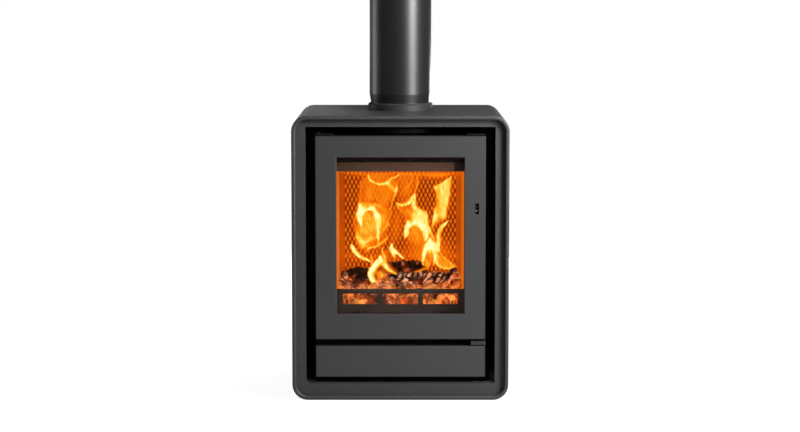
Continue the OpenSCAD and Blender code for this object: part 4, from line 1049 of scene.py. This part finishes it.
def flame_sheet(depth, shapes):
    """Closed thin sheet cut to the outline of its flames. Its vertices carry their heat."""
    shapes = [FlameShape(*shape) for shape in shapes]
    low = Vector((min(s.low.x for s in shapes), min(s.low.y for s in shapes)))
    high = Vector((max(s.high.x for s in shapes), max(s.high.y for s in shapes)))
    size = high - low
    bm = bmesh.new()
    layer = bm.verts.layers.float.new("heat")
    grid = bmesh.ops.create_grid(
        bm, x_segments=int(size.x / FLAME_STEP), y_segments=int(size.y / FLAME_STEP), size=0.5
    )["verts"]
    for v in grid:
        x, z = low.x + (v.co.x + 0.5) * size.x, low.y + (v.co.y + 0.5) * size.y
        sway = noise.noise_vector(Vector((x, depth, z)) * 0.05) * 2.0
        sway += noise.noise_vector(Vector((x, depth, z)) * 0.14) * 1.3
        cool = 1.0
        for shape in shapes:
            cool *= 1.0 - min(1.0, shape.at(x + sway.x, z + sway.y) / HOTTEST)
        v[layer] = HOTTEST * (1.0 - cool)
        y = depth - 6.0 * v[layer] + 3.0 * math.sin(x * 0.09 + depth) + 3.0 * math.sin(z * 0.06 + depth)
        v.co = held((x, y, z), FLAMES_LOW, FLAMES_HIGH) * MM
    bmesh.ops.delete(bm, geom=[v for v in grid if v[layer] < 0.02], context="VERTS")
    bmesh.ops.solidify(bm, geom=bm.faces[:], thickness=0.0004)
    add_chart(bm, "flame", layer, layer)
    return bm


# Operators


class STOVE_OT_finish_metal(bpy.types.Operator):
    """Give every plate, casting, screw, seal and the glass its finish"""

    bl_idname = "stove.finish_metal"
    bl_label = "Finish the metal and the glass"

    def execute(self, context):
        finishes = scene_finishes()
        side = glowing_brick("side_firebrick", ribs)
        top = glowing_brick("baffle_brick", baffle_face)
        own = {
            "side_brick_left": side,
            "side_brick_right": side,
            "baffle_plate": top,
            "airwash_deflector": deflector_painted_firelight(),
            "latch_catch": catch_with_painted_highlight(),
            "collar_bolts": finishes["firebox_steel"],
            "air_valve_plate": finishes["firebox_steel"],
            "hinge_pin_top": finishes["firebox_steel"],
            "hinge_pin_bottom": finishes["firebox_steel"],
        }
        slots = {p["node"]: p["material_slot"] for p in frame["record"]["subparts"]}
        for name, node in frame["nodes"].items():
            finish = own.get(name) or finishes.get(slots[name])
            if finish is None:
                continue
            for slot in node.material_slots:
                slot.material = finish
        return {"FINISHED"}


class STOVE_OT_lay_embers(bpy.types.Operator):
    """Lay the ember bed and its lumps of charcoal"""

    bl_idname = "stove.lay_embers"
    bl_label = "Lay the embers"

    def execute(self, context):
        fire = settings("stove_fire")
        fine = charcoal("fine_embers", (0.03, 0.01, 0.005), (0.55, 0.25, 0.13), 0.3, 1.3)
        lumpy = charcoal("ember_lumps", (0.035, 0.012, 0.006), (0.66, 0.36, 0.22), 0.5, 1.15)
        mound = add_piece("ember_mound", ember_mound(), fine, "embers")
        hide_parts("ember_bed")
        add_piece("charcoal_lumps", charcoal_lumps(fire.lumps, fire.seed), lumpy, "embers")
        return {"FINISHED"}


class STOVE_OT_lay_logs(bpy.types.Operator):
    """Lay the three burning logs"""

    bl_idname = "stove.lay_logs"
    bl_label = "Lay the logs"

    def execute(self, context):
        dark = charcoal("charred_wood", (0.014, 0.006, 0.004), (0.5, 0.25, 0.15), 0.24, 1.0)
        pale = charcoal("ashy_wood", (0.02, 0.008, 0.004), (0.74, 0.42, 0.27), 0.7, 0.8)
        for node, finish, slot, shape in (
            ("log_back", dark, "charred_wood", (0.0178, 0.117, 4, -2, 3, 0.0, 84, 0.1)),
            ("log_front", pale, "ashy_wood", (0.0165, 0.139, 6, 2, 5, 0.3, 66, 0.2)),
            ("log_left", dark, "charred_wood", (0.0182, 0.065, -24, 9, 8, 0.8, 60, 0.05)),
        ):
            log = add_piece(node.replace("log_", "burning_log_"), burnt_log(node, *shape), finish, slot)
            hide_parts(node)
        return {"FINISHED"}


class STOVE_OT_light_fire(bpy.types.Operator):
    """Light the flames"""

    bl_idname = "stove.light_fire"
    bl_label = "Light the flames"

    def execute(self, context):
        finish = flame_finish()
        # Unseeded, noise_vector starts from the clock, and the flames would sway otherwise on each run
        noise.seed_set(settings("stove_fire").seed)
        for name, (depth, shapes) in FLAMES.items():
            add_piece("flames_" + name, flame_sheet(depth, shapes), finish, "embers")
        return {"FINISHED"}


def aim(thing, at):
    thing.rotation_euler = (Vector(at) - thing.location).to_track_quat("-Z", "Y").to_euler()


def add_lamp(name, place, at, size, power):
    lamp = bpy.data.lights.new(name, "AREA")
    lamp.shape = "RECTANGLE"
    lamp.size, lamp.size_y = size
    lamp.energy = power * settings("stove_stage").light
    holder = add_object(name, lamp)
    holder.location = place
    aim(holder, at)


def seen_directly(nodes):
    """1 for rays from the camera and through glass, and gloss for rays that metal and glass reflect."""
    camera, glass, mirror = (
        nodes.node("ShaderNodeLightPath", output=f"Is {kind} Ray")
        for kind in ("Camera", "Transmission", "Glossy")
    )
    return (camera + glass + mirror * settings("stove_stage").gloss).clamped()


class STOVE_OT_set_stage(bpy.types.Operator):
    """Set the floor, the light and the camera"""

    bl_idname = "stove.set_stage"
    bl_label = "Set the stage"

    def execute(self, context):
        self.floor()
        self.sky()
        self.lamps()
        self.camera()
        return {"FINISHED"}

    def floor(self):
        bm = bmesh.new()
        bmesh.ops.create_grid(bm, x_segments=2, y_segments=2, size=7.0)
        bmesh.ops.translate(bm, verts=bm.verts, vec=(0, 0, -0.0005))
        f = Finish("pale_floor")
        reach = f.node("ShaderNodeVectorMath", {"operation": "LENGTH"}, {0: f.point()}, output="Value")
        level = f.node(
            "ShaderNodeMapRange",
            None,
            {"Value": reach, "From Min": 0.5, "From Max": 1.6, "To Min": 0.93, "To Max": 1.0},
        )
        pale = f.surface(
            Base_Color=(0.3, 0.3, 0.3),
            Roughness=0.9,
            Specular_IOR_Level=0.0,
            Emission_Color=(1.0, 1.0, 1.0),
            Emission_Strength=seen_directly(f) * level,
        )
        floor = add_mesh("floor", bm, pale)

    def sky(self):
        world = bpy.data.worlds.new("studio")
        bpy.context.scene.world = world
        world.use_nodes = True
        nodes = Nodes(world.node_tree)
        unseen = 0.08
        background = nodes.tree.nodes["Background"]
        background.inputs["Color"].default_value = (1, 1, 1, 1)
        nodes.feed(background.inputs["Strength"], unseen + seen_directly(nodes) * (1.0 - unseen))

    def lamps(self):
        add_lamp("key", (0.95, -0.9, 1.15), (0, 0, 0.4), (0.4, 0.4), 33)
        add_lamp("strip", (1.25, -1.2, 1.0), (0, 0, 0.75), (0.6, 1.5), 32)
        add_lamp("fill", (-2.0, 0.8, 0.6), (-0.2, 0, 0.35), (0.8, 1.0), 7)
        add_lamp("back", (0.5, 1.9, 0.3), (0, 0, 0.3), (1.2, 0.5), 34)
        add_lamp("ridge", (-0.42, 1.9, 0.72), (-0.1, 0, 0.58), (0.5, 0.24), 1.1)

    def camera(self):
        stage = settings("stove_stage")
        data = bpy.data.cameras.new("camera")
        data.sensor_width = 36.0
        data.lens = stage.lens
        data.shift_y = stage.shift
        data.clip_start, data.clip_end = 0.05, 50.0
        camera = add_object("camera", data)
        camera.location = (-0.0008, CAD_BOX[0].y - stage.distance, stage.height)
        camera.rotation_euler = (math.pi / 2 - stage.pitch, 0, 0)
        bpy.context.scene.camera = camera
        bpy.context.scene.view_settings.view_transform = "Standard"


class STOVE_PT_panel(bpy.types.Panel):
    """Stove tools in the sidebar"""

    bl_label = "Stove"
    bl_space_type = "VIEW_3D"
    bl_region_type = "UI"
    bl_category = "Stove"

    def draw(self, context):
        for group in (StovePaint, StoveFire, StoveStage):
            kept = settings(GROUP_NAMES[group])
            for name in group.__annotations__:
                self.layout.prop(kept, name)
        for operator in OPERATORS:
            self.layout.operator(operator.bl_idname)


GROUP_NAMES = {StovePaint: "stove_paint", StoveFire: "stove_fire", StoveStage: "stove_stage"}
OPERATORS = (
    STOVE_OT_finish_metal,
    STOVE_OT_lay_embers,
    STOVE_OT_lay_logs,
    STOVE_OT_light_fire,
    STOVE_OT_set_stage,
)
CLASSES = (*GROUP_NAMES, *OPERATORS, STOVE_PT_panel)


def register():
    for cls in CLASSES:
        bpy.utils.register_class(cls)
    for group, name in GROUP_NAMES.items():
        setattr(bpy.types.Scene, name, bpy.props.PointerProperty(type=group))


def unregister():
    for name in GROUP_NAMES.values():
        delattr(bpy.types.Scene, name)
    for cls in reversed(CLASSES):
        bpy.utils.unregister_class(cls)


def main():
    register()
    bpy.context.scene.cycles.transparent_max_bounces = 32
    bpy.ops.stove.finish_metal()
    bpy.ops.stove.lay_embers()
    bpy.ops.stove.lay_logs()
    bpy.ops.stove.light_fire()
    bpy.ops.stove.set_stage()


if __name__ == "__main__":
    main()
